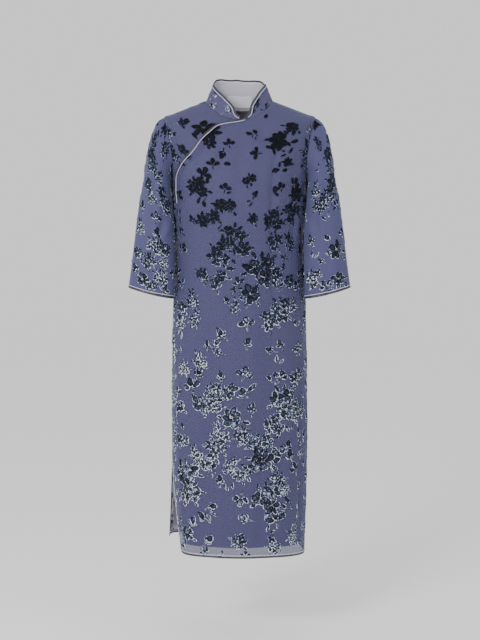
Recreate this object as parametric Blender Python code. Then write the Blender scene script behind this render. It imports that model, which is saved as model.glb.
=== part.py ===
"""Midi dress with a stand collar, a slant opening and three-quarter sleeves, hollow as it is worn.

Metres, +Z up. The front faces -Y and the wearer's left is +X. The origin is midway between the neck
ends of the two shoulder seams, a little below them, where the wearer's shoulders carry the dress.
"""

from collections import namedtuple
from math import pi, radians

import bpy
import numpy as np

# Walls and gaps.
CLOTH = 0.0012  # face cloth, with its velvet pile
LINING = 0.0010
FACING = 0.0010
SEAM = 0.0004  # clear gap where two pieces are sewn together
LAYER = 0.0004  # clear gap between a piece and the one that lies on it

# Mesh density.
PANEL_COLUMNS = 18
LINING_COLUMNS = 12
UNDER_COLUMNS = 7
ARMHOLE_STEPS = 8
SLEEVE_COLUMNS = 2 * ARMHOLE_STEPS
COLLAR_COLUMNS = 40

# Trim.
BINDING_WIDTH = 0.0042
BINDING_THICK = 0.0020
PIPING_RADIUS = 0.0011
PIPING_INSIDE = 0.0022  # from the panel's edge to the cord's centre
PIPING_STOP = 0.0045  # a cord stops this far short of one that crosses its end

# The body's rings from hem to neck. side_z is the height of a ring at its sides, right_seam is the angle
# of the seam on the wearer's right, inset is how deep the lining lies, and rows is how many rows of the
# mesh lie between this ring and the next one up.
Ring = namedtuple("Ring", "name half_width side_z front_y front_z back_y back_z right_seam inset rows")
RINGS = (
    Ring("hem", 0.1615, -1.1020, -0.122, -1.1050, 0.130, -1.0850, -90, 0.0070, 3),
    Ring("knee", 0.1665, -0.9400, -0.119, -0.9400, 0.130, -0.9400, -90, 0.0070, 3),
    Ring("thigh", 0.1685, -0.7600, -0.117, -0.7600, 0.131, -0.7600, -90, 0.0070, 3),
    Ring("hip", 0.1675, -0.6000, -0.115, -0.6000, 0.130, -0.6000, -90, 0.0070, 2),
    Ring("high hip", 0.1645, -0.4800, -0.110, -0.4800, 0.118, -0.4800, -84, 0.0070, 2),
    Ring("waist", 0.1620, -0.3600, -0.107, -0.3600, 0.098, -0.3600, -62, 0.0070, 3),
    Ring("bust", 0.1665, -0.2500, -0.127, -0.2550, 0.104, -0.2500, -69, 0.0065, 2),
    Ring("underarm", 0.1675, -0.1950, -0.126, -0.2050, 0.106, -0.1950, -90, 0.0050, 0),
    Ring("mid armhole", 0.1840, -0.1150, -0.112, -0.1450, 0.104, -0.1180, -90, 0.0042, 0),
    Ring("shoulder point", 0.1890, -0.0345, -0.094, -0.1000, 0.090, -0.0550, -90, 0.0042, 1),
    Ring("outer shoulder", 0.1690, -0.0260, -0.089, -0.0900, 0.084, -0.0400, -90, 0.0042, 2),
    Ring("mid shoulder", 0.1400, -0.0145, -0.077, -0.0740, 0.072, -0.0190, -90, 0.0042, 3),
    Ring("neck", 0.0830, 0.0075, -0.058, -0.0480, 0.052, -0.0040, -90, 0.0042, 0),
)
LEVEL = {ring.name: index for index, ring in enumerate(RINGS)}
SECTION_ROUNDNESS = 0.92  # under 1, so a little squarer than an ellipse
DIP_SHARPNESS = 1.5  # how sharply a ring dips towards centre front and back
LEFT_HEM_DROP = 0.010  # the hem hangs lower at the side with no slit
LEFT_HEM_SHARPNESS = 3
BLEND_LEVELS = 1.0  # how many levels up and down the rings are blended at centre front and back

# Soft folds: angle from centre front, spread, the height that it starts and ends at, and its depth.
Fold = namedtuple("Fold", "name angle spread top_z end_z depth")
FOLD_FADE = 3  # a fold fades in and out over one part in this many of its length
FOLDS = (
    Fold("left skirt fold", 24, 9, -0.42, -1.00, -0.0035),
    Fold("left skirt ridge", 43, 10, -0.50, -1.20, 0.0035),
    Fold("centre skirt ridge", 4, 11, -0.55, -1.20, 0.0025),
    Fold("right skirt fold", -22, 9, -0.60, -1.20, -0.0030),
    Fold("right skirt ridge", -45, 10, -0.52, -1.05, 0.0030),
    Fold("chest fold", 26, 6, -0.12, -0.46, -0.0025),
    Fold("waist fold", -28, 7, -0.26, -0.50, -0.0030),
    Fold("back left fold", 152, 10, -0.45, -1.20, -0.0035),
    Fold("back ridge", 178, 12, -0.50, -1.20, 0.0035),
    Fold("back right fold", -150, 10, -0.42, -1.20, -0.0035),
)

# The armhole bites this far into front and back, in degrees from the side.
ARMHOLE_BITE = 25.0
ARMHOLE_FULLNESS = 0.6  # under 1, so its curve is fuller than a parabola
ARMHOLE_GAP = 1.5 * SEAM

# The slant opening: how many rings up from the bust, and the angle from centre front of the edge there.
Opening = namedtuple("Opening", "rings_up angle")
OPENING = (
    Opening(0.0, -66.5),
    Opening(0.5, -68.0),
    Opening(1.0, -66.3),
    Opening(1.5, -53.6),
    Opening(2.0, -39.0),
    Opening(2.5, -31.7),
    Opening(3.0, -27.4),
    Opening(3.5, -24.8),
    Opening(4.0, -23.4),
    Opening(4.5, -23.1),
    Opening(5.0, -22.1),
    Opening(5.5, -14.5),
    Opening(6.0, 12.0),
)
UNDERLAP = 9.0  # degrees that the under front runs on beneath the front
UNDER_STEP = CLOTH + 2.5 * LAYER
UNDER_CLEAR = 4.0  # degrees beside the front's edge where the under front lies at its full depth

# The slit in the wearer's right side seam.
SLIT_TOP_Z = -0.865
SLIT_CURVE = 1.4  # over 1, so the free edges leave the side gently
FRONT_SWING = (0.018, -0.034, 0.000)  # how far the front's free corner swings, in x, y and z
BACK_SWING = (-0.018, 0.075, 0.013)
SWING_SPREAD = 70.0  # degrees of each panel that swing with its free edge

# Sleeve rings for the wearer's left arm: outer and inner edge, middle depth and half depth. dip is how far
# the middle of the edge curves down.
Cuff = namedtuple("Cuff", "name outer_x outer_z inner_x inner_z middle_y half_depth dip rows")
SLEEVE = (
    Cuff("biceps", 0.2350, -0.185, 0.1652, -0.235, -0.031, 0.054, 0.000, 3),
    Cuff("elbow", 0.2530, -0.290, 0.1585, -0.330, -0.042, 0.046, 0.000, 3),
    Cuff("forearm", 0.2635, -0.385, 0.1585, -0.420, -0.050, 0.041, 0.001, 2),
    Cuff("cuff", 0.2720, -0.4560, 0.1600, -0.4835, -0.055, 0.038, 0.004, 0),
)
CAP_ROWS = 5
# How the sleeve cap leaves the armhole, at its middle and how much more at its outer edge, and how it
# arrives at the biceps ring.
CAP_LEAVE = (0.0505, 0.000, -0.022)
CAP_LEAVE_OUTER = (0.0435, -0.006, 0.005)
CAP_ARRIVE = (0.004, -0.010, -0.085)
CAP_ARRIVE_OUTER = (0.000, 0.000, -0.045)

# The stand collar. Its ends are given as angles from centre front, and its height by how far round
# the neck a place lies from the nearer end.
COLLAR_RIGHT_END = 0.0
COLLAR_LEFT_END = 12.0
COLLAR_LEAN = 5.1  # share of its radius that the collar leans in, for each metre of height
CollarHeight = namedtuple("CollarHeight", "from_end height")
COLLAR_HEIGHTS = (
    CollarHeight(0, 0.003),
    CollarHeight(6, 0.009),
    CollarHeight(12, 0.027),
    CollarHeight(21, 0.036),
    CollarHeight(40, 0.042),
    CollarHeight(86, 0.038),
    CollarHeight(106, 0.053),
    CollarHeight(130, 0.0615),
    CollarHeight(174, 0.0680),
)
COLLAR_ROWS = 3

LABEL_HALF_ANGLE = 23.0
LABEL_FROM, LABEL_TO = 0.03, 0.47  # shares of the collar's height
LABEL_THICK = 0.0010
LABEL_COLUMNS, LABEL_ROWS = 6, 2

HEM_ABOVE = 0.019  # the lining ends this far above the hem


def between(start, leave, end, arrive, share):
    """A point of the curve that leaves start along one slope and arrives at end along another."""
    back = 1 - share
    return (
        start * (1 + 2 * share) * back**2 + leave * share * back**2
        + end * share**2 * (3 - 2 * share) - arrive * share**2 * back
    )


def smooth(values, at):
    """Reads a table's column between its rows, along a curve that doesn't overshoot them."""
    values = np.asarray(values, float)
    steps = np.diff(values)
    before, after = steps[:-1], steps[1:]
    steady = before * after > 0
    middle = np.where(steady, 2 * before * after / np.where(steady, before + after, 1), 0)
    slopes = np.concatenate([steps[:1], middle, steps[-1:]])
    at = np.asarray(at, float)
    index = np.clip(np.floor(at).astype(int), 0, len(values) - 2)
    return between(values[index], slopes[index], values[index + 1], slopes[index + 1], at - index)


def column(table, name, at):
    """One named column of a table, read at a fractional row."""
    return smooth([getattr(row, name) for row in table], at)


def ease(share):
    """0 to 1 with a soft start and end."""
    share = np.clip(share, 0, 1)
    return share * share * (3 - 2 * share)


def unit(vectors):
    return vectors / np.linalg.norm(vectors, axis=-1, keepdims=True)


def fold_depth(angle, z):
    """How far the folds lift the cloth off the plain ring, at an angle in degrees."""
    lift = np.zeros(np.broadcast(angle, z).shape)
    for fold in FOLDS:
        turn = (angle - fold.angle + 180) % 360 - 180
        across = np.exp(-((turn / fold.spread) ** 2))
        length = fold.top_z - fold.end_z
        share = (fold.top_z - z) / length
        lift = lift + fold.depth * across * ease(share * FOLD_FADE) * ease((1 - share) * FOLD_FADE)
    return lift


def slit_swing(angle, z):
    """How far the two free edges below the slit's top hang away from the side."""
    opened = np.clip((SLIT_TOP_Z - z) / (SLIT_TOP_Z - RINGS[0].side_z), 0, 1) ** SLIT_CURVE
    front = ease((-angle - 90 + SWING_SPREAD) / SWING_SPREAD)
    back = ease((angle - 270 + SWING_SPREAD) / SWING_SPREAD)
    swung = front[..., None] * np.array(FRONT_SWING) + back[..., None] * np.array(BACK_SWING)
    return opened[..., None] * swung


def plain_ring(angle, level):
    """Points of the ring at a level, before the folds and the slit."""
    turn = np.radians(angle)
    in_front = np.cos(turn) >= 0
    lean = np.abs(np.cos(turn))
    side_z = column(RINGS, "side_z", level)
    depth = np.where(in_front, column(RINGS, "front_y", level), column(RINGS, "back_y", level))
    drop = np.where(in_front, column(RINGS, "front_z", level), column(RINGS, "back_z", level)) - side_z
    across = np.sign(np.sin(turn)) * np.abs(np.sin(turn)) ** SECTION_ROUNDNESS
    left_side = np.clip(np.sin(turn), 0, 1) ** LEFT_HEM_SHARPNESS
    x = column(RINGS, "half_width", level) * across
    y = depth * lean**SECTION_ROUNDNESS
    z = side_z + drop * lean**DIP_SHARPNESS - LEFT_HEM_DROP * left_side * np.clip(1 - level, 0, 1)
    return np.stack([x, y, z], axis=-1)


def torso(angle, level, folded=True):
    """Points of the body's outer surface. angle is in degrees: -90 at the wearer's right side, 0 at
    centre front, 90 at the left side, 180 at centre back and 270 back at the right side. level reads
    RINGS. Away from the sides the rings are blended, so that chest and back round into the shoulders."""
    angle, level = np.broadcast_arrays(np.asarray(angle, float), np.asarray(level, float))
    inside = np.clip(np.minimum(level, len(RINGS) - 1 - level), 0, 1)
    reach = BLEND_LEVELS * np.abs(np.cos(np.radians(angle))) * inside
    points = plain_ring(angle, level) / 2
    points += (plain_ring(angle, level - reach) + plain_ring(angle, level + reach)) / 4
    if folded:
        lift = fold_depth(angle, points[..., 2])
        points[..., 0] += lift * np.sin(np.radians(angle))
        points[..., 1] -= lift * np.cos(np.radians(angle))
    return points + slit_swing(angle, points[..., 2])


def outward(angle, level, folded=True):
    """The torso's outward normals, from points a little to each side, above and below."""
    turn_step, level_step = 0.4, 0.02
    across = torso(angle + turn_step, level, folded) - torso(angle - turn_step, level, folded)
    top = len(RINGS) - 1
    upper, lower = np.minimum(level + level_step, top), np.maximum(level - level_step, 0)
    up = torso(angle, upper, folded) - torso(angle, lower, folded)
    return unit(np.cross(across, up))


def level_rows():
    """The levels of all the body's mesh rows, from hem to neck."""
    levels = []
    for index, ring in enumerate(RINGS):
        levels += [index + step / ring.rows for step in range(ring.rows)]
        if ring.name == "underarm":
            span = LEVEL["shoulder point"] - LEVEL["underarm"]
            steps = np.arange(ARMHOLE_STEPS)
            levels += list(index + span * (1 - np.cos(pi * steps / ARMHOLE_STEPS)) / 2)
    return np.array(levels + [len(RINGS) - 1])


def armhole_bite(level):
    """Degrees that the armhole takes off each side of front and back at a level."""
    span = LEVEL["shoulder point"] - LEVEL["underarm"]
    share = np.clip((level - LEVEL["underarm"]) / span, 0, 1)
    return ARMHOLE_BITE * (4 * share * (1 - share)) ** ARMHOLE_FULLNESS


def turn_for(distance, angle, level):
    """How many degrees a short distance takes along a ring."""
    step = 0.5
    gone = np.linalg.norm(torso(angle + step, level) - torso(angle, level), axis=-1)
    return step * distance / gone


def opening_angle(level):
    """Where the front's slant edge crosses a level, as an angle from centre front."""
    return column(OPENING, "angle", np.clip(2 * (level - LEVEL["bust"]), 0, len(OPENING) - 1))


def material(name, colour, roughness, metallic=0.0):
    """A plain finish, with its colour as linear RGB."""
    made = bpy.data.materials.new(name)
    made.use_nodes = True
    shader = made.node_tree.nodes["Principled BSDF"]
    shader.inputs["Base Color"].default_value = (*colour, 1)
    shader.inputs["Roughness"].default_value = roughness
    shader.inputs["Metallic"].default_value = metallic
    made.diffuse_color = (*colour, 1)
    return made


def add_mesh(name, points, faces, finish):
    """Adds one named solid to the dress."""
    mesh = bpy.data.meshes.new(name)
    mesh.from_pydata([tuple(point) for point in points], [], faces)
    mesh.materials.append(finish)
    mesh.shade_smooth()
    mesh.set_sharp_from_angle(angle=radians(40))
    solid = bpy.data.objects.new(name, mesh)
    DRESS.objects.link(solid)
    return solid


def wall(name, outer, inner, finish, ring=False):
    """A cloth wall between two grids of points. ring joins each row's last point to its first."""
    rows, columns = outer.shape[:2]
    count = rows * columns
    points = np.concatenate([outer.reshape(-1, 3), inner.reshape(-1, 3)])
    spans = columns if ring else columns - 1

    def corner(row, place, layer):
        return layer * count + row * columns + place % columns

    faces = []
    for row in range(rows - 1):
        for place in range(spans):
            quad = [corner(row, place, 0), corner(row, place + 1, 0)]
            quad += [corner(row + 1, place + 1, 0), corner(row + 1, place, 0)]
            a, b, c, d = points[quad]
            if np.linalg.norm(c - a) > np.linalg.norm(d - b):
                quad = quad[1:] + quad[:1]
            # Both sides split along the same, shorter diagonal, so a warped cell can't cross itself.
            faces.append(quad)
            faces.append([index + count for index in quad[:1] + quad[:0:-1]])
    for row, turned in ((0, False), (rows - 1, True)):
        for place in range(spans):
            quad = [corner(row, place + 1, 0), corner(row, place, 0)]
            quad += [corner(row, place, 1), corner(row, place + 1, 1)]
            faces.append(quad[::-1] if turned else quad)
    if not ring:
        for place, turned in ((0, True), (columns - 1, False)):
            for row in range(rows - 1):
                quad = [corner(row + 1, place, 0), corner(row, place, 0)]
                quad += [corner(row, place, 1), corner(row + 1, place, 1)]
                faces.append(quad[::-1] if turned else quad)
    return add_mesh(name, points, faces, finish)


def ribbon(name, edge, away, normal, finish, ring=False):
    """A binding folded over a raw edge: it lies just past the edge, along it, and a little proud."""
    near = edge + away * SEAM
    far = edge + away * (SEAM + BINDING_WIDTH)
    proud = normal * (BINDING_THICK - CLOTH)
    deep = normal * -CLOTH
    outer = np.stack([near + proud, far + proud])
    inner = np.stack([near + deep, far + deep])
    if (np.cross(np.gradient(edge, axis=0), away) * normal).sum() < 0:
        outer, inner = outer[:, ::-1], inner[:, ::-1]
    return wall(name, outer, inner, finish, ring)


def cord(name, path, finish, ring=False):
    """A piping cord along a path."""
    curve = bpy.data.curves.new(name, "CURVE")
    curve.dimensions = "3D"
    curve.bevel_depth = PIPING_RADIUS
    curve.bevel_resolution = 1
    curve.use_fill_caps = not ring
    line = curve.splines.new("POLY")
    line.points.add(len(path) - 1)
    for point, place in zip(line.points, path):
        point.co = (*place, 1)
    line.use_cyclic_u = ring
    curve.materials.append(finish)
    made = bpy.data.objects.new(name, curve)
    DRESS.objects.link(made)
    return made


def panel_grid(start, end, levels, columns):
    """Angles and levels of a panel whose rows run from start to end, in degrees."""
    share = np.linspace(0, 1, columns + 1)
    angle = start[:, None] + (end - start)[:, None] * share
    return angle, np.repeat(levels[:, None], columns + 1, axis=1)


def body_panel(name, start, end, levels, columns, inset, thick, finish, folded=True):
    """A wall cut from the torso between two angles on each level, set in from its outer surface."""
    angle, level = panel_grid(start, end, levels, columns)
    points, normals = torso(angle, level, folded), outward(angle, level, folded)
    outer = points - normals * inset[..., None]
    wall(name, outer, outer - normals * thick, finish)
    return outer, normals


def right_seam(levels):
    """Angle of the seam on the wearer's right."""
    return np.interp(levels, np.arange(len(RINGS)), [ring.right_seam for ring in RINGS])


def right_gap(levels, seam):
    """Degrees left free beside the right seam: half the sewn gap, and a binding's room at the slit."""
    at_slit = column(RINGS, "side_z", levels) < SLIT_TOP_Z
    return turn_for(np.where(at_slit, SEAM + BINDING_WIDTH, 0) + SEAM / 2, seam, levels)


def front_limits(levels):
    """Where front cloth ends at the wearer's right and left, at each level."""
    bite = armhole_bite(levels)
    seam = right_seam(levels)
    left = 90 - bite - turn_for(SEAM / 2, 89.0, levels)
    return seam + bite + right_gap(levels, seam), left


def back_limits(levels):
    """Where back cloth starts and ends, going round from the wearer's left side to the right."""
    bite = armhole_bite(levels)
    seam = 360 + right_seam(levels)
    left = 90 + bite + turn_for(SEAM / 2, 90.5, levels)
    return left, seam - bite - right_gap(levels, seam - 0.5)


def build_front(levels):
    """The large front panel. Its right edge above the bust is the slant opening."""
    start, end = front_limits(levels)
    start = np.where(levels >= LEVEL["bust"], opening_angle(levels), start)
    inset = np.zeros((len(levels), PANEL_COLUMNS + 1))
    return body_panel("front", start, end, levels, PANEL_COLUMNS, inset, CLOTH, FACE)


def build_under_front(levels):
    """The shoulder piece beneath the slant opening, from the armhole to a little past the front's edge."""
    upper = levels[levels >= LEVEL["bust"]]
    start, _ = front_limits(upper)
    edge = opening_angle(upper)
    angle, _ = panel_grid(start, edge + UNDERLAP, upper, UNDER_COLUMNS)
    clear = edge - UNDER_CLEAR - start
    step = ease((angle - start[:, None]) / np.maximum(clear, 0.01)[:, None])
    step = np.where(clear[:, None] < UNDER_CLEAR, 1, step)
    body_panel("under_front", start, edge + UNDERLAP, upper, UNDER_COLUMNS, UNDER_STEP * step, CLOTH, FACE)


def build_back(levels):
    start, end = back_limits(levels)
    inset = np.zeros((len(levels), PANEL_COLUMNS + 1))
    return body_panel("back", start, end, levels, PANEL_COLUMNS, inset, CLOTH, FACE)


def build_lining(levels):
    """The slip inside: it hangs plain, clear of the folds, and ends above the hem."""
    first = LEVEL["hem"] + HEM_ABOVE / (RINGS[1].side_z - RINGS[0].side_z)
    kept = np.concatenate([[first], levels[levels > first + 0.1]])
    inset = np.repeat(column(RINGS, "inset", kept)[:, None], LINING_COLUMNS + 1, axis=1)
    for name, limits in (("lining_front", front_limits), ("lining_back", back_limits)):
        start, end = limits(kept)
        body_panel(name, start, end, kept, LINING_COLUMNS, inset, LINING, SLIP, folded=False)


def armhole(levels, side):
    """The armhole's closed edge for one arm, from the shoulder point down the front and up the back."""
    rows = levels[(levels >= LEVEL["underarm"]) & (levels <= LEVEL["shoulder point"])]
    down = rows[::-1]
    front = torso(side * (90 - armhole_bite(down)), down)
    up = rows[1:-1]
    back = torso(side * (90 + armhole_bite(up)), up)
    edge = np.concatenate([front, back])
    return edge + unit(edge.mean(axis=0) - edge) * ARMHOLE_GAP


def sleeve_ring(at, side):
    """A ring of the sleeve tube, from its outer edge round the front to the inner edge and the back."""
    turn = 2 * pi * np.arange(SLEEVE_COLUMNS) / SLEEVE_COLUMNS
    inner_share = (1 - np.cos(turn)) / 2
    outer_x, inner_x = column(SLEEVE, "outer_x", at), column(SLEEVE, "inner_x", at)
    outer_z, inner_z = column(SLEEVE, "outer_z", at), column(SLEEVE, "inner_z", at)
    x = outer_x + (inner_x - outer_x) * inner_share
    y = column(SLEEVE, "middle_y", at) - column(SLEEVE, "half_depth", at) * np.sin(turn)
    z = outer_z + (inner_z - outer_z) * inner_share - column(SLEEVE, "dip", at) * np.sin(turn) ** 2
    return np.stack([side * x, y, z], axis=-1)


def sleeve_points(levels, side):
    """All rings of one sleeve, from the armhole to the cuff."""
    turn = 2 * pi * np.arange(SLEEVE_COLUMNS) / SLEEVE_COLUMNS
    top = armhole(levels, side)
    below = sleeve_ring(0, side)
    swing = np.stack([np.cos(turn), np.sin(turn), np.cos(turn)], axis=-1)
    arm = np.array([side, 1, 1])
    leave = arm * (np.array(CAP_LEAVE) + np.array(CAP_LEAVE_OUTER) * swing)
    arrive = arm * (np.array(CAP_ARRIVE) + np.array(CAP_ARRIVE_OUTER) * swing)
    rings = []
    for share in np.arange(CAP_ROWS) / CAP_ROWS:
        rings.append(between(top, leave, below, arrive, share))
    for index, cuff in enumerate(SLEEVE):
        rings += [sleeve_ring(index + step / cuff.rows, side) for step in range(cuff.rows)]
    rings.append(sleeve_ring(len(SLEEVE) - 1, side))
    return np.array(rings)


def grid_normals(points, ring=False):
    """Normals of a grid of points, outward where its columns run anticlockwise seen from its last row."""
    if ring:
        across = np.roll(points, -1, axis=1) - np.roll(points, 1, axis=1)
    else:
        across = np.gradient(points, axis=1)
    along = np.gradient(points, axis=0)
    return unit(np.cross(across, along))


def build_sleeve(levels, name, side):
    points = sleeve_points(levels, side)
    if side > 0:
        points = points[:, ::-1]
    normals = -grid_normals(points, ring=True)
    outer, inner = points, points - normals * CLOTH
    wall(f"sleeve_{name}", outer[::-1], inner[::-1], FACE, ring=True)
    away = away_from(points[-1], points[-2], normals[-1], ring=True)
    edge_trim(f"cuff_{name}", points[-1], away, normals[-1], ring=True)


def collar_angles():
    """Angles round the collar, from its right end past the back to its left end, closer at the ends."""
    share = np.linspace(0, 1, COLLAR_COLUMNS + 1)
    share = (share + (1 - np.cos(pi * share)) / 2) / 2
    return COLLAR_RIGHT_END + (COLLAR_LEFT_END - 360 - COLLAR_RIGHT_END) * share


def collar_height(angle):
    """The collar's height at an angle."""
    from_end = np.minimum(COLLAR_RIGHT_END - angle, angle - (COLLAR_LEFT_END - 360))
    rows = np.interp(from_end, [row.from_end for row in COLLAR_HEIGHTS], np.arange(len(COLLAR_HEIGHTS)))
    return column(COLLAR_HEIGHTS, "height", rows)


def collar_point(angle, share):
    """A point of the collar's outer face, at a share of its height."""
    base = torso(angle, np.full_like(angle, len(RINGS) - 1), folded=False)
    lean = 1 - COLLAR_LEAN * share * collar_height(angle)
    rise = SEAM + share * collar_height(angle)
    return np.stack([base[..., 0] * lean, base[..., 1] * lean, base[..., 2] + rise], axis=-1)


def build_collar():
    angles = collar_angles()
    share = np.linspace(0, 1, COLLAR_ROWS + 1)
    angle, height = np.broadcast_arrays(angles[None, :], share[:, None])
    outer = collar_point(angle, height)[:, ::-1]
    normals = grid_normals(outer)
    wall("collar", outer, outer - normals * CLOTH, FACE)
    face = outer - normals * (CLOTH + LAYER)
    wall("collar_facing", face, face - normals * FACING, SATIN)
    edge_trim("collar", outer[-1], away_from(outer[-1], outer[-2], normals[-1]), normals[-1])


def build_label():
    """The blank label on the facing at centre back."""
    wide = np.linspace(-LABEL_HALF_ANGLE, LABEL_HALF_ANGLE, LABEL_COLUMNS + 1) - 180
    tall = np.linspace(LABEL_FROM, LABEL_TO, LABEL_ROWS + 1)
    angle, height = np.broadcast_arrays(wide[None, :], tall[:, None])
    plate = collar_point(angle, height)
    normals = grid_normals(plate)
    plate = plate - normals * (CLOTH + FACING + 2 * LAYER)
    wall("neck_label", plate, plate - normals * LABEL_THICK, LABEL)


def away_from(edge, inside, normal, ring=False):
    """Directions square to an edge, along the cloth, away from the points inside it."""
    along = np.roll(edge, -1, axis=0) - np.roll(edge, 1, axis=0) if ring else np.gradient(edge, axis=0)
    square = unit(np.cross(along, normal))
    return square * np.sign(((edge - inside) * square).sum(axis=-1, keepdims=True))


def piping_path(edge, away, normal):
    """The line of a piping cord that lies on the cloth, just inside its edge."""
    return edge - away * PIPING_INSIDE + normal * (PIPING_RADIUS + LAYER)


def edge_trim(name, edge, away, normal, ring=False):
    """Dark binding past an edge, and the pale cord inside it."""
    ribbon(f"{name}_binding", edge, away, normal, DARK, ring)
    cord(f"{name}_piping", piping_path(edge, away, normal), PALE, ring)


def shortened(path, length):
    """The path with its first point moved along it."""
    return np.concatenate([path[:1] + unit(path[1:2] - path[:1]) * length, path[1:]])


def build_opening_trim(front, normals, levels):
    """The trim along the front's slant edge, whose cord stops short of the collar's."""
    rows = levels >= LEVEL["bust"]
    edge, face = front[rows, 0], normals[rows, 0]
    away = away_from(edge, front[rows, 1], face)
    ribbon("opening_binding", edge, away, face, DARK)
    path = piping_path(edge, away, face)[::-1]
    cord("opening_piping", shortened(path, PIPING_STOP), PALE)


def build_lower_trim(name, panel, normals, levels, free):
    """The trim on a panel's hem, and on its free edge beside the slit. free is that edge's column."""
    rows = column(RINGS, "side_z", levels) < SLIT_TOP_Z
    side, face = panel[rows, free], normals[rows, free]
    out = away_from(side, panel[rows, 1 if free == 0 else -2], face)
    ribbon(f"slit_{name}_binding", side, out, face, DARK)
    cord(f"slit_{name}_piping", shortened(piping_path(side, out, face), PIPING_STOP), PALE)
    hem, face = panel[0], normals[0]
    away = away_from(hem, panel[1], face)
    cord(f"hem_{name}_piping", piping_path(hem, away, face), PALE)
    wide = hem.copy()
    wide[free] = hem[free] + out[0] * (SEAM + BINDING_WIDTH)
    ribbon(f"hem_{name}_binding", wide, away, face, DARK)


def clear_scene():
    for thing in list(bpy.data.objects):
        bpy.data.objects.remove(thing)


clear_scene()
DRESS = bpy.data.collections.new("midi dress")
bpy.context.scene.collection.children.link(DRESS)
FACE = material("burnt-out velvet on georgette", (0.105, 0.115, 0.235), 0.75)
SLIP = material("plum slip lining", (0.080, 0.075, 0.130), 0.65)
SATIN = material("pale satin facing", (0.480, 0.465, 0.540), 0.40)
DARK = material("dark satin binding", (0.030, 0.028, 0.050), 0.45)
PALE = material("pale piping cord", (0.560, 0.550, 0.680), 0.45)
LABEL = material("blank woven label", (0.620, 0.610, 0.660), 0.60)

LEVELS = level_rows()
front_points, front_normals = build_front(LEVELS)
build_under_front(LEVELS)
back_points, back_normals = build_back(LEVELS)
build_lining(LEVELS)
build_sleeve(LEVELS, "right", -1)
build_sleeve(LEVELS, "left", 1)
build_collar()
build_label()
build_opening_trim(front_points, front_normals, LEVELS)
build_lower_trim("front", front_points, front_normals, LEVELS, 0)
build_lower_trim("back", back_points, back_normals, LEVELS, -1)
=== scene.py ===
"""Looks of the midi dress: georgette with burnt-out velvet flowers over a slip, a satin-faced collar, dark
binding and pale piping. Metres, in the part's own frame: +Z up, the front faces -Y."""

from collections import namedtuple
from math import pi, radians

import bpy
import numpy as np
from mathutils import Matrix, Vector


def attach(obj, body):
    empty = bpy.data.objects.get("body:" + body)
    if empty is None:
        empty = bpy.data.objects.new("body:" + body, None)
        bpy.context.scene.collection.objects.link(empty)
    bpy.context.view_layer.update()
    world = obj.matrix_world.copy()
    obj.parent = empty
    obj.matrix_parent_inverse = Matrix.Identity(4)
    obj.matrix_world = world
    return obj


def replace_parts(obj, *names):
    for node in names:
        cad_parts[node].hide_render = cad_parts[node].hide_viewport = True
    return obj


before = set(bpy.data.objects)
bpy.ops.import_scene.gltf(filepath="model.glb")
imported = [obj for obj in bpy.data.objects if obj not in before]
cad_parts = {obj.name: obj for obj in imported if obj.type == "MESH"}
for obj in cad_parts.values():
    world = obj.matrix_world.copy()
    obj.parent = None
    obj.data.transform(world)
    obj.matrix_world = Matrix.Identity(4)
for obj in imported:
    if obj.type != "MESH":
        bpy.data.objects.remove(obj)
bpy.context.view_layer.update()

# Cloth and gaps.
CLOTH = 0.0012  # wall of the solid that each cloth stands for
SHEER = 0.0005  # georgette
SATIN = 0.0005
SEAM = 0.0004
LAYER = 0.0004
STEP = 0.0050  # side of a mesh cell on the large panels
PANEL_COLUMNS = 104
LINING_COLUMNS = 60
UNDER_COLUMNS = 44
SLEEVE_COLUMNS = 84
COLLAR_COLUMNS, COLLAR_ROWS = 190, 16
CAP_ROWS = 26
ARMHOLE_STEPS = 34

# The body's rings from hem to neck, as in the solids.
Ring = namedtuple("Ring", "name half_width side_z front_y front_z back_y back_z right_seam inset")
RINGS = (
    Ring("hem", 0.1615, -1.1020, -0.122, -1.1050, 0.130, -1.0850, -90, 0.0070),
    Ring("knee", 0.1665, -0.9400, -0.119, -0.9400, 0.130, -0.9400, -90, 0.0070),
    Ring("thigh", 0.1685, -0.7600, -0.117, -0.7600, 0.131, -0.7600, -90, 0.0070),
    Ring("hip", 0.1675, -0.6000, -0.115, -0.6000, 0.130, -0.6000, -90, 0.0070),
    Ring("high hip", 0.1645, -0.4800, -0.110, -0.4800, 0.118, -0.4800, -84, 0.0070),
    Ring("waist", 0.1620, -0.3600, -0.107, -0.3600, 0.098, -0.3600, -62, 0.0070),
    Ring("bust", 0.1665, -0.2500, -0.127, -0.2550, 0.104, -0.2500, -69, 0.0065),
    Ring("underarm", 0.1675, -0.1950, -0.126, -0.2050, 0.106, -0.1950, -90, 0.0050),
    Ring("mid armhole", 0.1840, -0.1150, -0.112, -0.1450, 0.104, -0.1180, -90, 0.0042),
    Ring("shoulder point", 0.1890, -0.0345, -0.094, -0.1000, 0.090, -0.0550, -90, 0.0042),
    Ring("outer shoulder", 0.1690, -0.0260, -0.089, -0.0900, 0.084, -0.0400, -90, 0.0042),
    Ring("mid shoulder", 0.1400, -0.0145, -0.077, -0.0740, 0.072, -0.0190, -90, 0.0042),
    Ring("neck", 0.0830, 0.0075, -0.058, -0.0480, 0.052, -0.0040, -90, 0.0042),
)
LEVEL = {ring.name: index for index, ring in enumerate(RINGS)}
SECTION_ROUNDNESS = 0.92
DIP_SHARPNESS = 1.5
LEFT_HEM_DROP = 0.010
LEFT_HEM_SHARPNESS = 3
BLEND_LEVELS = 1.0

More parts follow.
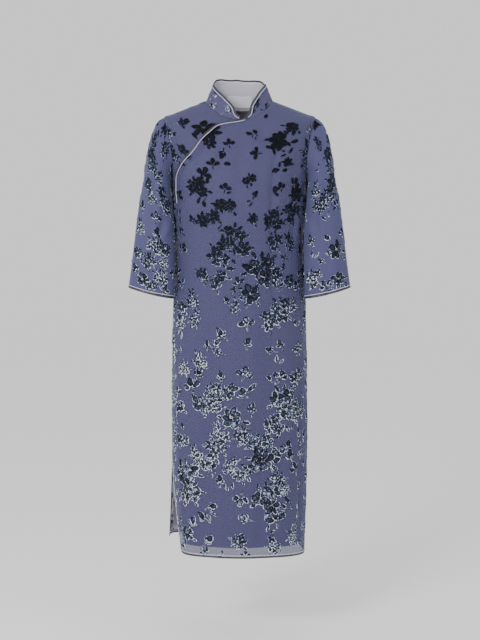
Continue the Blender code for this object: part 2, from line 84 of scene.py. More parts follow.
# Folds and creases: angle from centre front, how far it drifts on its way down, spread, the height that it
# starts and ends at, and its depth. The first ten are in the solids too, without their drift.
Fold = namedtuple("Fold", "angle drift spread top_z end_z depth")
FOLD_FADE = 3
FOLDS = (
    Fold(24, 0, 9, -0.42, -1.00, -0.0035),
    Fold(43, 0, 10, -0.50, -1.20, 0.0035),
    Fold(4, 0, 11, -0.55, -1.20, 0.0025),
    Fold(-22, 0, 9, -0.60, -1.20, -0.0030),
    Fold(-45, 0, 10, -0.52, -1.05, 0.0030),
    Fold(26, 0, 6, -0.12, -0.46, -0.0025),
    Fold(-28, 0, 7, -0.26, -0.50, -0.0030),
    Fold(152, 0, 10, -0.45, -1.20, -0.0035),
    Fold(178, 0, 12, -0.50, -1.20, 0.0035),
    Fold(-150, 0, 10, -0.42, -1.20, -0.0035),
    # Chest: short soft troughs that hang from the neck seam and the opening.
    Fold(-15, 3, 3.0, -0.062, -0.200, -0.0032),
    Fold(1, -2, 2.6, -0.066, -0.260, -0.0034),
    Fold(8, 2, 2.4, -0.070, -0.180, 0.0019),
    Fold(16, 3, 2.4, -0.034, -0.170, -0.0029),
    Fold(27, 1, 2.8, -0.020, -0.700, -0.0039),
    Fold(34, -2, 3.4, -0.060, -0.330, 0.0024),
    Fold(48, 4, 3.0, -0.110, -0.420, -0.0027),
    Fold(61, -4, 3.4, -0.150, -0.380, 0.0027),
    Fold(-40, 8, 3.2, -0.190, -0.420, -0.0027),
    Fold(-55, -5, 3.0, -0.230, -0.400, 0.0022),
    # Waist and hips.
    Fold(-9, 3, 3.6, -0.300, -0.640, -0.0022),
    Fold(12, -3, 3.2, -0.380, -0.760, 0.0020),
    Fold(-33, 5, 3.2, -0.430, -0.700, 0.0026),
    Fold(70, 3, 3.6, -0.300, -0.620, -0.0031),
    Fold(-72, -4, 3.4, -0.400, -0.720, -0.0027),
    # Skirt.
    Fold(-12, -3, 3.8, -0.700, -1.150, 0.0027),
    Fold(34, 3, 3.4, -0.620, -1.090, -0.0029),
    Fold(17, -2, 3.0, -0.800, -1.180, -0.0026),
    Fold(58, 4, 3.6, -0.560, -1.140, -0.0032),
    Fold(-36, 2, 3.2, -0.760, -1.160, -0.0027),
    Fold(-62, 3, 3.4, -0.600, -1.120, 0.0027),
    Fold(80, -3, 3.4, -0.640, -1.160, 0.0027),
    # Back.
    Fold(168, 3, 3.2, -0.060, -0.380, -0.0031),
    Fold(-166, -4, 3.2, -0.050, -0.300, -0.0027),
    Fold(180, 4, 3.4, -0.200, -0.560, 0.0024),
    Fold(146, -5, 3.4, -0.120, -0.460, 0.0027),
    Fold(-140, 6, 3.4, -0.140, -0.520, -0.0032),
    Fold(124, 5, 3.6, -0.260, -0.640, -0.0031),
    Fold(-122, -4, 3.6, -0.300, -0.700, 0.0029),
    Fold(164, -3, 3.4, -0.660, -1.140, -0.0031),
    Fold(-168, 3, 3.4, -0.620, -1.090, -0.0029),
    Fold(134, 4, 3.6, -0.600, -1.120, 0.0031),
    Fold(-130, -3, 3.4, -0.700, -1.150, 0.0031),
    Fold(112, 3, 3.6, -0.700, -1.140, -0.0027),
    Fold(-108, 2, 3.6, -0.560, -1.000, -0.0027),
)

ARMHOLE_BITE = 25.0
ARMHOLE_FULLNESS = 0.6
ARMHOLE_GAP = 1.5 * SEAM

Opening = namedtuple("Opening", "rings_up angle")
OPENING = (
    Opening(0.0, -66.5),
    Opening(0.5, -68.0),
    Opening(1.0, -66.3),
    Opening(1.5, -53.6),
    Opening(2.0, -39.0),
    Opening(2.5, -31.7),
    Opening(3.0, -27.4),
    Opening(3.5, -24.8),
    Opening(4.0, -23.4),
    Opening(4.5, -23.1),
    Opening(5.0, -22.1),
    Opening(5.5, -14.5),
    Opening(6.0, 12.0),
)
UNDERLAP = 9.0
UNDER_STEP = CLOTH + 2.5 * LAYER
UNDER_CLEAR = 4.0

SLIT_TOP_Z = -0.865
SLIT_CURVE = 1.4
FRONT_SWING = (0.018, -0.034, 0.000)
BACK_SWING = (-0.018, 0.075, 0.013)
SWING_SPREAD = 70.0

# Sleeve rings for the wearer's left arm.
Cuff = namedtuple("Cuff", "name outer_x outer_z inner_x inner_z middle_y half_depth dip rows")
SLEEVE = (
    Cuff("biceps", 0.2350, -0.185, 0.1652, -0.235, -0.031, 0.054, 0.000, 20),
    Cuff("elbow", 0.2530, -0.290, 0.1585, -0.330, -0.042, 0.046, 0.000, 18),
    Cuff("forearm", 0.2635, -0.385, 0.1585, -0.420, -0.050, 0.041, 0.001, 14),
    Cuff("cuff", 0.2720, -0.4560, 0.1600, -0.4835, -0.055, 0.038, 0.004, 0),
)
CAP_LEAVE = (0.0505, 0.000, -0.022)
CAP_LEAVE_OUTER = (0.0435, -0.006, 0.005)
CAP_ARRIVE = (0.004, -0.010, -0.085)
CAP_ARRIVE_OUTER = (0.000, 0.000, -0.045)

# Sleeve creases: turn from the outer edge round the front in degrees, how far it drifts, its spread, the
# shares of the sleeve's length that it starts and ends at, and its depth.
Crease = namedtuple("Crease", "turn drift spread start end depth")
CREASES = (
    Crease(70, 20, 11, 0.10, 0.62, -0.0030),
    Crease(104, -14, 10, 0.22, 0.95, 0.0024),
    Crease(128, -30, 9, 0.30, 0.80, -0.0033),
    Crease(40, 12, 10, 0.36, 1.10, -0.0027),
    Crease(86, 8, 9, 0.58, 1.15, -0.0027),
    Crease(150, -46, 9, 0.44, 0.60, -0.0030),
    Crease(150, -50, 8, 0.52, 0.70, 0.0024),
    Crease(262, 16, 11, 0.12, 0.70, -0.0030),
    Crease(300, -12, 11, 0.30, 1.10, -0.0030),
    Crease(232, 26, 9, 0.40, 0.86, 0.0027),
    Crease(214, 44, 8, 0.46, 0.66, -0.0030),
    Crease(5, 8, 12, 0.45, 1.15, -0.0021),
)

COLLAR_RIGHT_END = 0.0
COLLAR_LEFT_END = 12.0
COLLAR_LEAN = 5.1
CollarHeight = namedtuple("CollarHeight", "from_end height")
COLLAR_HEIGHTS = (
    CollarHeight(0, 0.003),
    CollarHeight(6, 0.009),
    CollarHeight(12, 0.027),
    CollarHeight(21, 0.036),
    CollarHeight(40, 0.042),
    CollarHeight(86, 0.038),
    CollarHeight(106, 0.053),
    CollarHeight(130, 0.0615),
    CollarHeight(174, 0.0680),
)
LABEL_HALF_ANGLE = 23.0
LABEL_FROM, LABEL_TO = 0.03, 0.47
HEM_ABOVE = 0.019  # the slip ends this far above the hem

# Trim: profiles across the edge, as distance past the edge and height above the cloth.
BINDING_WIDTH = 0.0042
BINDING = (
    (0.0004, -0.0011), (0.0030, -0.0012), (0.0040, -0.0010), (0.0045, -0.0005), (0.0046, 0.0000),
    (0.0043, 0.0005), (0.0036, 0.0008), (0.0024, 0.0009), (0.0011, 0.0008), (0.0005, 0.0005),
)
PIPING_RADIUS = 0.0009
PIPING_INSIDE = 0.0022
PIPING_SIDES = 10
PIPING_STOP = 0.0045


def between(start, leave, end, arrive, share):
    """A point of the curve that leaves start along one slope and arrives at end along another."""
    back = 1 - share
    return (
        start * (1 + 2 * share) * back**2 + leave * share * back**2
        + end * share**2 * (3 - 2 * share) - arrive * share**2 * back
    )


def smooth(values, at):
    """Reads a table's column between its rows, along a curve that doesn't overshoot them."""
    values = np.asarray(values, float)
    steps = np.diff(values)
    before, after = steps[:-1], steps[1:]
    steady = before * after > 0
    middle = np.where(steady, 2 * before * after / np.where(steady, before + after, 1), 0)
    slopes = np.concatenate([steps[:1], middle, steps[-1:]])
    at = np.asarray(at, float)
    index = np.clip(np.floor(at).astype(int), 0, len(values) - 2)
    return between(values[index], slopes[index], values[index + 1], slopes[index + 1], at - index)


def column(table, name, at):
    """One named column of a table, read at a fractional row."""
    return smooth([getattr(row, name) for row in table], at)


def ease(share):
    """0 to 1 with a soft start and end."""
    share = np.clip(share, 0, 1)
    return share * share * (3 - 2 * share)


def unit(vectors):
    return vectors / np.maximum(np.linalg.norm(vectors, axis=-1, keepdims=True), 1e-12)


def fold_depth(angle, z):
    """How far the folds lift the cloth off the plain ring, at an angle in degrees."""
    lift = np.zeros(np.broadcast(angle, z).shape)
    for fold in FOLDS:
        share = (fold.top_z - z) / (fold.top_z - fold.end_z)
        middle = fold.angle + fold.drift * np.clip(share, 0, 1)
        turn = (angle - middle + 180) % 360 - 180
        across = np.exp(-((turn / fold.spread) ** 2))
        lift = lift + fold.depth * across * ease(share * FOLD_FADE) * ease((1 - share) * FOLD_FADE)
    return lift


def slit_swing(angle, z):
    """How far the two free edges below the slit's top hang away from the side."""
    opened = np.clip((SLIT_TOP_Z - z) / (SLIT_TOP_Z - RINGS[0].side_z), 0, 1) ** SLIT_CURVE
    front = ease((-angle - 90 + SWING_SPREAD) / SWING_SPREAD)
    back = ease((angle - 270 + SWING_SPREAD) / SWING_SPREAD)
    swung = front[..., None] * np.array(FRONT_SWING) + back[..., None] * np.array(BACK_SWING)
    return opened[..., None] * swung


def plain_ring(angle, level):
    """Points of the body before folds and slit, where level reads RINGS."""
    angle, level = np.broadcast_arrays(np.asarray(angle, float), np.asarray(level, float))
    turn = np.radians(angle)
    in_front = np.cos(turn) >= 0
    lean = np.abs(np.cos(turn))
    side_z = column(RINGS, "side_z", level)
    depth = np.where(in_front, column(RINGS, "front_y", level), column(RINGS, "back_y", level))
    drop = np.where(in_front, column(RINGS, "front_z", level), column(RINGS, "back_z", level)) - side_z
    across = np.sign(np.sin(turn)) * np.abs(np.sin(turn)) ** SECTION_ROUNDNESS
    left_side = np.clip(np.sin(turn), 0, 1) ** LEFT_HEM_SHARPNESS
    x = column(RINGS, "half_width", level) * across
    y = depth * lean**SECTION_ROUNDNESS
    z = side_z + drop * lean**DIP_SHARPNESS - LEFT_HEM_DROP * left_side * np.clip(1 - level, 0, 1)
    return np.stack([x, y, z], axis=-1)


def torso(angle, level, folded=True):
    """Points of the body's outer surface. angle is in degrees: -90 at the wearer's right side, 0 at
    centre front, 90 at the left side, 180 at centre back and 270 back at the right side."""
    angle, level = np.broadcast_arrays(np.asarray(angle, float), np.asarray(level, float))
    inside = np.clip(np.minimum(level, len(RINGS) - 1 - level), 0, 1)
    reach = BLEND_LEVELS * np.abs(np.cos(np.radians(angle))) * inside
    points = plain_ring(angle, level) / 2
    points = points + (plain_ring(angle, level - reach) + plain_ring(angle, level + reach)) / 4
    if folded:
        turn, lift = np.radians(angle), fold_depth(angle, points[..., 2])
        points = points + np.stack([lift * np.sin(turn), -lift * np.cos(turn), 0 * lift], axis=-1)
    return points + slit_swing(angle, points[..., 2])


def outward(angle, level):
    """The torso's outward normals, from points a little to each side, above and below."""
    turn_step, level_step = 0.4, 0.02
    across = torso(angle + turn_step, level) - torso(angle - turn_step, level)
    upper, lower = np.minimum(level + level_step, len(RINGS) - 1), np.maximum(level - level_step, 0)
    return unit(np.cross(across, torso(angle, upper) - torso(angle, lower)))


def level_rows():
    """The levels of the body's mesh rows, from hem to neck, about STEP apart."""
    levels = []
    for index, (ring, above) in enumerate(zip(RINGS[:-1], RINGS[1:])):
        if LEVEL["underarm"] <= index < LEVEL["shoulder point"]:
            if ring.name == "underarm":
                span = LEVEL["shoulder point"] - LEVEL["underarm"]
                steps = np.arange(ARMHOLE_STEPS)
                levels += list(index + span * (1 - np.cos(pi * steps / ARMHOLE_STEPS)) / 2)
            continue
        rise = max(abs(above.side_z - ring.side_z), abs(above.half_width - ring.half_width))
        count = int(np.ceil(rise / STEP))
        levels += [index + step / count for step in range(count)]
    return np.array(levels + [len(RINGS) - 1])


def armhole_bite(level):
    """Degrees that the armhole takes off each side of front and back at a level."""
    span = LEVEL["shoulder point"] - LEVEL["underarm"]
    share = np.clip((level - LEVEL["underarm"]) / span, 0, 1)
    return ARMHOLE_BITE * (4 * share * (1 - share)) ** ARMHOLE_FULLNESS


def turn_for(distance, angle, level):
    """How many degrees a short distance takes along a ring."""
    step = 0.5
    gone = np.linalg.norm(torso(angle + step, level) - torso(angle, level), axis=-1)
    return step * distance / gone


def opening_angle(level):
    """Where the front's slant edge crosses a level, as an angle from centre front."""
    return column(OPENING, "angle", np.clip(2 * (level - LEVEL["bust"]), 0, len(OPENING) - 1))


def right_seam(levels):
    return np.interp(levels, np.arange(len(RINGS)), [ring.right_seam for ring in RINGS])


def right_gap(levels, seam):
    """Degrees left free beside the right seam: half the sewn gap, and a binding's room at the slit."""
    at_slit = column(RINGS, "side_z", levels) < SLIT_TOP_Z
    return turn_for(np.where(at_slit, SEAM + BINDING_WIDTH, 0) + SEAM / 2, seam, levels)


def front_limits(levels):
    bite, seam = armhole_bite(levels), right_seam(levels)
    return seam + bite + right_gap(levels, seam), 90 - bite - turn_for(SEAM / 2, 89.0, levels)


def back_limits(levels):
    bite, seam = armhole_bite(levels), 360 + right_seam(levels)
    left = 90 + bite + turn_for(SEAM / 2, 90.5, levels)
    return left, seam - bite - right_gap(levels, seam - 0.5)


# A laid cloth: its grid of points and outward normals, and the turn that each row starts and ends at.
Cloth = namedtuple("Cloth", "points normals start end")


def body_cloth(start, end, levels, columns, inset=0.0):
    """A cloth between two angles on each level, set in from the torso."""
    share = np.linspace(0, 1, columns + 1)
    angle = start[:, None] + (end - start)[:, None] * share
    level = np.repeat(levels[:, None], columns + 1, axis=1)
    normals = outward(angle, level)
    return Cloth(torso(angle, level) - normals * np.asarray(inset)[..., None], normals, start, end)


def grid_normals(points):
    """Normals of a grid of points, outward where its columns run anticlockwise seen from its last row."""
    return unit(np.cross(np.gradient(points, axis=1), np.gradient(points, axis=0)))


def armhole(turn, side):
    """The armhole's edge for one arm, at a turn from the shoulder point round the front and up the back."""
    span = LEVEL["shoulder point"] - LEVEL["underarm"]
    level = LEVEL["underarm"] + span * (1 + np.cos(turn)) / 2
    way = np.where(np.sin(turn) >= 0, -1, 1)
    edge = torso(side * (90 + way * armhole_bite(level)), level)
    return edge + unit(edge.mean(axis=0) - edge) * ARMHOLE_GAP


def sleeve_ring(at, turn, side):
    """A ring of the sleeve tube, from its outer edge round the front to the inner edge and the back."""
    inner_share = (1 - np.cos(turn)) / 2
    outer_x, inner_x = column(SLEEVE, "outer_x", at), column(SLEEVE, "inner_x", at)
    outer_z, inner_z = column(SLEEVE, "outer_z", at), column(SLEEVE, "inner_z", at)
    x = outer_x + (inner_x - outer_x) * inner_share
    y = column(SLEEVE, "middle_y", at) - column(SLEEVE, "half_depth", at) * np.sin(turn)
    z = outer_z + (inner_z - outer_z) * inner_share - column(SLEEVE, "dip", at) * np.sin(turn) ** 2
    return np.stack([side * x, y, z], axis=-1)


def sleeve_cloth(side):
    """One sleeve from cuff to armhole, open along its seam under the arm."""
    seam_turn = 0.4
    degrees = np.linspace(180 + seam_turn, 540 - seam_turn, SLEEVE_COLUMNS + 1)
    turn = np.radians(degrees)
    top, below = armhole(turn, side), sleeve_ring(0, turn, side)
    swing = np.stack([np.cos(turn), np.sin(turn), np.cos(turn)], axis=-1)
    arm = np.array([side, 1, 1])
    leave = arm * (np.array(CAP_LEAVE) + np.array(CAP_LEAVE_OUTER) * swing)
    arrive = arm * (np.array(CAP_ARRIVE) + np.array(CAP_ARRIVE_OUTER) * swing)
    rings = [between(top, leave, below, arrive, share) for share in np.arange(CAP_ROWS) / CAP_ROWS]
    for index, cuff in enumerate(SLEEVE):
        rings += [sleeve_ring(index + step / cuff.rows, turn, side) for step in range(cuff.rows)]
    rings.append(sleeve_ring(len(SLEEVE) - 1, turn, side))
    points = np.array(rings)[::-1]
    if side > 0:
        points, degrees = points[:, ::-1], degrees[::-1]
    normals = grid_normals(points)
    down = np.linspace(1, 0, len(points))[:, None]
    lift = np.zeros(points.shape[:2])
    for crease in CREASES:
        share = (down - crease.start) / (crease.end - crease.start)
        away = (degrees[None, :] - crease.turn - crease.drift * np.clip(share, 0, 1) + 180) % 360 - 180
        across = np.exp(-((away / crease.spread) ** 2))
        lift = lift + crease.depth * across * ease(share * FOLD_FADE) * ease((1 - share) * FOLD_FADE)
    points = points + normals * lift[..., None]
    rows = len(points)
    return Cloth(points, grid_normals(points), np.full(rows, degrees[0]), np.full(rows, degrees[-1]))


def collar_height(angle):
    from_end = np.minimum(COLLAR_RIGHT_END - angle, angle - (COLLAR_LEFT_END - 360))
    rows = np.interp(from_end, [row.from_end for row in COLLAR_HEIGHTS], np.arange(len(COLLAR_HEIGHTS)))
    return column(COLLAR_HEIGHTS, "height", rows)


def collar_point(angle, share):
    """A point of the collar's outer face, at a share of its height."""
    base = torso(angle, np.full_like(angle, len(RINGS) - 1), folded=False)
    lean = 1 - COLLAR_LEAN * share * collar_height(angle)
    rise = SEAM + share * collar_height(angle)
    return np.stack([base[..., 0] * lean, base[..., 1] * lean, base[..., 2] + rise], axis=-1)


def collar_cloth(first, last, low, high, columns, rows, inset=0.0):
    """A cloth on the collar between two angles and two shares of its height, set in from its face."""
    share = np.linspace(0, 1, columns + 1)
    ends = (share + (1 - np.cos(pi * share)) / 2) / 2
    angle, height = np.meshgrid(first + (last - first) * ends, np.linspace(low, high, rows + 1))
    points = collar_point(angle, height)
    normals = grid_normals(points)
    points = points - normals * inset
    return Cloth(points, normals, np.full(rows + 1, first), np.full(rows + 1, last))


def away_from(edge, inside, normal):
    """Directions square to an edge, along the cloth, away from the points inside it."""
    square = unit(np.cross(np.gradient(edge, axis=0), normal))
    return square * np.sign(((edge - inside) * square).sum(axis=-1, keepdims=True))


# Meshes.


def solid(name, points, faces, finish, **marks):
    """Adds one named mesh that rides on the dress. marks are values for each of its points."""
    mesh = bpy.data.meshes.new(name)
    mesh.from_pydata(np.asarray(points).reshape(-1, 3).tolist(), [], faces)
    for mark, values in marks.items():
        held = mesh.attributes.new(mark, "FLOAT_VECTOR", "POINT")
        held.data.foreach_set("vector", np.asarray(values, np.float32).reshape(-1))
    mesh.materials.append(finish)
    mesh.shade_smooth()
    piece = bpy.data.objects.new(name, mesh)
    bpy.context.scene.collection.objects.link(piece)
    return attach(piece, "root")


def shell(name, cloth, thick, finish):
    """A thin closed cloth on a grid. Its threads mark says how far along each way a point lies."""
    outer = cloth.points
    inner = outer - cloth.normals * thick
    rows, columns = outer.shape[:2]
    count = rows * columns
    index = np.arange(count).reshape(rows, columns)
    low_left, low_right = index[:-1, :-1].ravel(), index[:-1, 1:].ravel()
    top_left, top_right = index[1:, :-1].ravel(), index[1:, 1:].ravel()
    face = np.stack([low_left, low_right, top_right, top_left], axis=1)
    rim = np.concatenate([index[0], index[1:, -1], index[-1, -2::-1], index[-2:0:-1, 0]])
    after = np.roll(rim, -1)
    sides = np.stack([after, rim, rim + count, after + count], axis=1)
    faces = np.concatenate([face, face[:, ::-1] + count, sides])
    across = np.linalg.norm(np.diff(outer, axis=1, prepend=outer[:, :1]), axis=-1).cumsum(axis=1)
    across = across - across[:, columns // 2][:, None]
    along = np.linalg.norm(np.diff(outer, axis=0, prepend=outer[:1]), axis=-1).cumsum(axis=0)
    threads = np.stack([across, along, np.zeros_like(along)], axis=-1).reshape(-1, 3)
    points = np.concatenate([outer.reshape(-1, 3), inner.reshape(-1, 3)])
    return solid(name, points, faces.tolist(), finish, threads=np.concatenate([threads, threads]))


def sweep(name, edge, away, normal, profile, finish):
    """A closed trim whose profile follows an edge."""
    shape = np.array(profile)
    ring = edge[:, None] + away[:, None] * shape[:, :1] + normal[:, None] * shape[:, 1:]
    if (np.cross(np.gradient(edge, axis=0), away) * normal).sum() < 0:
        ring = ring[:, ::-1]
    steps, sides = ring.shape[:2]
    index = np.arange(steps * sides).reshape(steps, sides)
    after = np.roll(index, -1, axis=1)
    faces = np.stack([index[:-1], after[:-1], after[1:], index[1:]], axis=-1).reshape(-1, 4)[:, ::-1].tolist()
    faces += [index[0].tolist(), index[-1, ::-1].tolist()]
    run = np.linalg.norm(np.diff(edge, axis=0, prepend=edge[:1]), axis=-1).cumsum()
    round_it = np.linalg.norm(np.diff(ring, axis=1, prepend=ring[:, :1]), axis=-1).cumsum(axis=1)
    threads = np.stack([round_it, np.repeat(run[:, None], sides, axis=1), 0 * round_it], axis=-1)
    return solid(name, ring, faces, finish, threads=threads)


def circle(radius, past, height, sides):
    turn = 2 * pi * np.arange(sides) / sides
    return np.stack([past + radius * np.cos(turn), height + radius * np.sin(turn)], axis=1)


def edge_trim(name, edge, away, normal, stop=0.0, wide=None):
    """Dark binding past an edge and the pale cord inside it. stop shortens the cord's first end."""
    reach = edge if wide is None else wide
    bound = sweep(f"{name}_bound_edge", reach, away, normal, BINDING, FINISH["binding"])
    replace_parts(bound, f"{name}_binding")
    kept = np.linalg.norm(np.diff(edge, axis=0, prepend=edge[:1]), axis=-1).cumsum() >= stop
    profile = circle(PIPING_RADIUS, -PIPING_INSIDE, PIPING_RADIUS, PIPING_SIDES)
    cord = sweep(f"{name}_piped_edge", edge[kept], away[kept], normal[kept], profile, FINISH["piping"])
    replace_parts(cord, f"{name}_piping")
    return [bound, cord]


STITCH_LENGTH, STITCH_GAP, STITCH_THICK = 0.0026, 0.0009, 0.00022


def stitches(name, path, normal, finish):
    """A row of sewn stitches along a path: small spindles that dive into the cloth at both ends."""
    run = np.linalg.norm(np.diff(path, axis=0, prepend=path[:1]), axis=-1).cumsum()
    starts = np.arange(STITCH_GAP, run[-1] - STITCH_LENGTH, STITCH_LENGTH + STITCH_GAP)
    at = starts[:, None] + STITCH_LENGTH * np.array([0.0, 0.25, 0.75, 1.0])
    spine = np.stack([np.interp(at, run, path[:, axis]) for axis in range(3)], axis=-1)
    up = unit(np.stack([np.interp(at, run, normal[:, axis]) for axis in range(3)], axis=-1))
    along = unit(spine[:, -1] - spine[:, 0])[:, None]
    side = np.cross(along, up)
    thick = STITCH_THICK * np.array([0.3, 1, 1, 0.3])[:, None]
    height = STITCH_THICK * np.array([-0.6, 0.7, 0.7, -0.6])[:, None]
    corners = [spine + up * height + side * thick * over + up * thick * rise
               for over, rise in ((1, 0), (0, 1), (-1, 0), (0, -1))]
    points = np.stack(corners, axis=2)
    count = len(starts)
    index = np.arange(count * 4 * 4).reshape(count, 4, 4)
    after = np.roll(index, -1, axis=2)
    faces = np.stack([index[:, :-1], index[:, 1:], after[:, 1:], after[:, :-1]], axis=-1).reshape(-1, 4)
    caps = np.concatenate([index[:, 0], index[:, -1, ::-1]])
    return solid(name, points, np.concatenate([faces, caps]).tolist(), finish)


# Burnt-out velvet.

# Motifs in shares of their own size: flowers as (x, y, size, turn, petals) and leaves as
# (x, y, turn, length, width, form), where y is up the cloth and a leaf grows from (x, y).
Motif = namedtuple("Motif", "flowers leaves")
MOTIFS = {
    "flower": Motif(
        ((0.00, 0.02, 0.98, 12, 7),),
        ((0.26, -0.30, -140, 0.34, 0.17, "leaf"), (-0.34, 0.24, 60, 0.26, 0.14, "leaf")),
    ),
    "pair": Motif(
        ((-0.22, 0.10, 0.60, 0, 6), (0.25, 0.06, 0.56, 30, 6)),
        ((-0.02, -0.12, 170, 0.30, 0.15, "leaf"), (0.10, 0.26, -20, 0.24, 0.12, "leaf"),
         (-0.30, -0.18, 150, 0.22, 0.11, "leaf")),
    ),
    "cluster": Motif(
        ((-0.21, 0.10, 0.54, 10, 6), (0.20, 0.16, 0.50, 44, 6), (0.02, -0.22, 0.56, 75, 6)),
        ((-0.12, 0.30, 14, 0.24, 0.12, "leaf"), (0.02, 0.26, -16, 0.26, 0.12, "leaf"),
         (-0.38, -0.02, 96, 0.20, 0.11, "leaf"), (0.36, -0.04, -100, 0.20, 0.11, "leaf"),
         (-0.18, -0.34, 150, 0.20, 0.10, "leaf"), (0.24, -0.34, -150, 0.22, 0.11, "leaf"),
         (0.38, 0.26, -60, 0.14, 0.09, "petal")),
    ),
    "spray": Motif(
        ((0.00, 0.24, 0.42, 20, 5), (-0.13, -0.06, 0.46, 60, 5), (0.17, -0.16, 0.42, 5, 5),
         (-0.02, -0.38, 0.32, 40, 5)),
        ((-0.08, 0.36, 16, 0.22, 0.10, "leaf"), (0.08, 0.36, -18, 0.20, 0.10, "leaf"),
         (0.22, 0.10, -80, 0.16, 0.08, "leaf"), (-0.32, 0.06, 70, 0.16, 0.09, "leaf"),
         (0.22, -0.34, -140, 0.16, 0.08, "leaf"), (-0.24, -0.28, 140, 0.16, 0.08, "leaf")),
    ),
    "star": Motif(
        (),
        tuple((0.05 * np.sin(radians(turn)), 0.05 * np.cos(radians(turn)), -turn, 0.45, 0.27, "leaf")
              for turn in (8, 62, 118, 176, 236, 300)),
    ),
    "sprig": Motif(
        (),
        ((0.02, -0.02, 24, 0.46, 0.30, "petal"), (-0.02, -0.02, -30, 0.42, 0.28, "petal"),
         (-0.30, -0.24, 12, 0.40, 0.15, "leaf"), (0.14, -0.38, -40, 0.26, 0.16, "leaf")),
    ),
    "three": Motif(
        (),
        ((0.00, -0.12, 0, 0.58, 0.38, "petal"), (-0.08, -0.12, 62, 0.48, 0.32, "petal"),
         (0.08, -0.12, -62, 0.48, 0.32, "petal"), (0.00, -0.14, 176, 0.36, 0.09, "stem")),
    ),
    "bud": Motif(
        (),
        ((0.00, -0.06, 8, 0.58, 0.42, "bud"), (-0.04, -0.12, 56, 0.38, 0.20, "leaf"),
         (0.06, -0.12, -44, 0.34, 0.18, "leaf"), (0.00, -0.06, 196, 0.44, 0.10, "stem")),
    ),
    "two buds": Motif(
        (),
        ((-0.14, 0.00, 26, 0.48, 0.34, "bud"), (0.16, -0.04, -20, 0.46, 0.32, "bud"),
         (-0.12, 0.02, 160, 0.34, 0.06, "stem"), (0.14, -0.02, 190, 0.30, 0.06, "stem"),
         (0.00, -0.24, 160, 0.24, 0.12, "leaf")),
    ),
    "leaves": Motif(
        (),
        ((-0.10, -0.34, 14, 0.62, 0.24, "leaf"), (0.16, -0.30, -28, 0.46, 0.20, "leaf")),
    ),
    "leaf": Motif((), ((0.00, -0.45, 0, 0.90, 0.50, "leaf"),)),
}
# How pointed each form is, where it is widest, and how deep its tip is notched.
Form = namedtuple("Form", "point belly notch")
FORMS = {
    "petal": Form(1.2, 0.20, 0.03),
    "leaf": Form(1.4, 0.0, 0.0),
    "bud": Form(1.15, -0.22, 0.0),
    "stem": Form(0.8, 0.0, 0.0),
}
PETAL_SIDES = 10
PETAL_LENGTHS = (0.36, 0.58)  # least and most, as shares of a flower's size
PETAL_WIDTHS = (1.5, 2.1)  # the same, to be shared out among its petals
PETAL_FOOT = 0.02
CROWDING = 0.9
PILE = 0.0007  # height of the cut pile
RIM = 0.0017  # width of a petal's edge, where pale sheen is painted
RAGGED = (0.10, 0.08)  # how far two and three waves round its edge pull a petal out of shape
MOTIF_SCALE = 1.12
LAP = 0.00010  # each petal lies this much above the one before it
LAPS = 9
CUT_OFF = 0.45  # a petal with more than this share past the cloth's edge is left out
SHINY_SIDE = (0.6, -0.8)  # the way, across and up, that the rims with the most painted highlight face

# Flowers on the front: place from the front in millimetres, motif, size in millimetres and turn in degrees.
Spot = namedtuple("Spot", "x z motif size turn")


def petal(length, width, form, random):
    """One petal's rings, from its middle out and down: x, y, height and how near its rim each point is."""
    turn = 2 * pi * np.arange(PETAL_SIDES) / PETAL_SIDES
    two_waves = RAGGED[0] * np.sin(2 * turn + random.uniform(0, 6))
    ragged = 1 + two_waves + RAGGED[1] * np.sin(3 * turn + random.uniform(0, 6))
    shape = FORMS[form]
    side = np.sign(np.sin(turn)) * np.abs(np.sin(turn)) ** shape.point
    x = width / 2 * side * (1 - shape.belly * np.cos(turn))
    tip = np.exp(-(((turn - pi) / 0.45) ** 2))
    y = length * ((1 - np.cos(turn)) / 2 - shape.notch * tip)
    rim = min(RIM, 0.42 * width / 2)
    inner = np.array([1 - rim / (width / 2), 1 - rim / (length / 2)])
    middle = np.array([0, length / 2])
    edge = (np.stack([x, y], axis=1) - middle) * ragged[:, None]
    rings = [(np.zeros((1, 2)), 0.86, 0.0)]
    for share, height, rim_share in ((0.55, 0.92, 0.25), (1.0, 1.0, 0.6)):
        rings.append((edge * inner * share, height, rim_share))
    rings.append((edge * (1 + inner) / 2, 0.8, 1.0))
    rings.append((edge, 0.35, 1.0))
    rings.append((edge, -0.4, 1.0))
    made = [np.column_stack([ring + middle, np.full(len(ring), high), np.full(len(ring), rim_share)])
            for ring, high, rim_share in rings]
    return np.concatenate(made)


def petal_faces():
    """Faces of one petal: a fan at its middle, rings of quads and a flat foot."""
    ring = 1 + np.arange(PETAL_SIDES)
    faces = [[0, int(here), int(after)] for here, after in zip(ring, np.roll(ring, -1))]
    for row in range(4):
        inner = ring + row * PETAL_SIDES
        outer = inner + PETAL_SIDES
        for here, after, far_after, far in zip(inner, np.roll(inner, -1), np.roll(outer, -1), outer):
            faces.append([int(here), int(far), int(far_after), int(after)])
    faces.append([int(corner) for corner in (ring + 4 * PETAL_SIDES)[::-1]])
    return faces


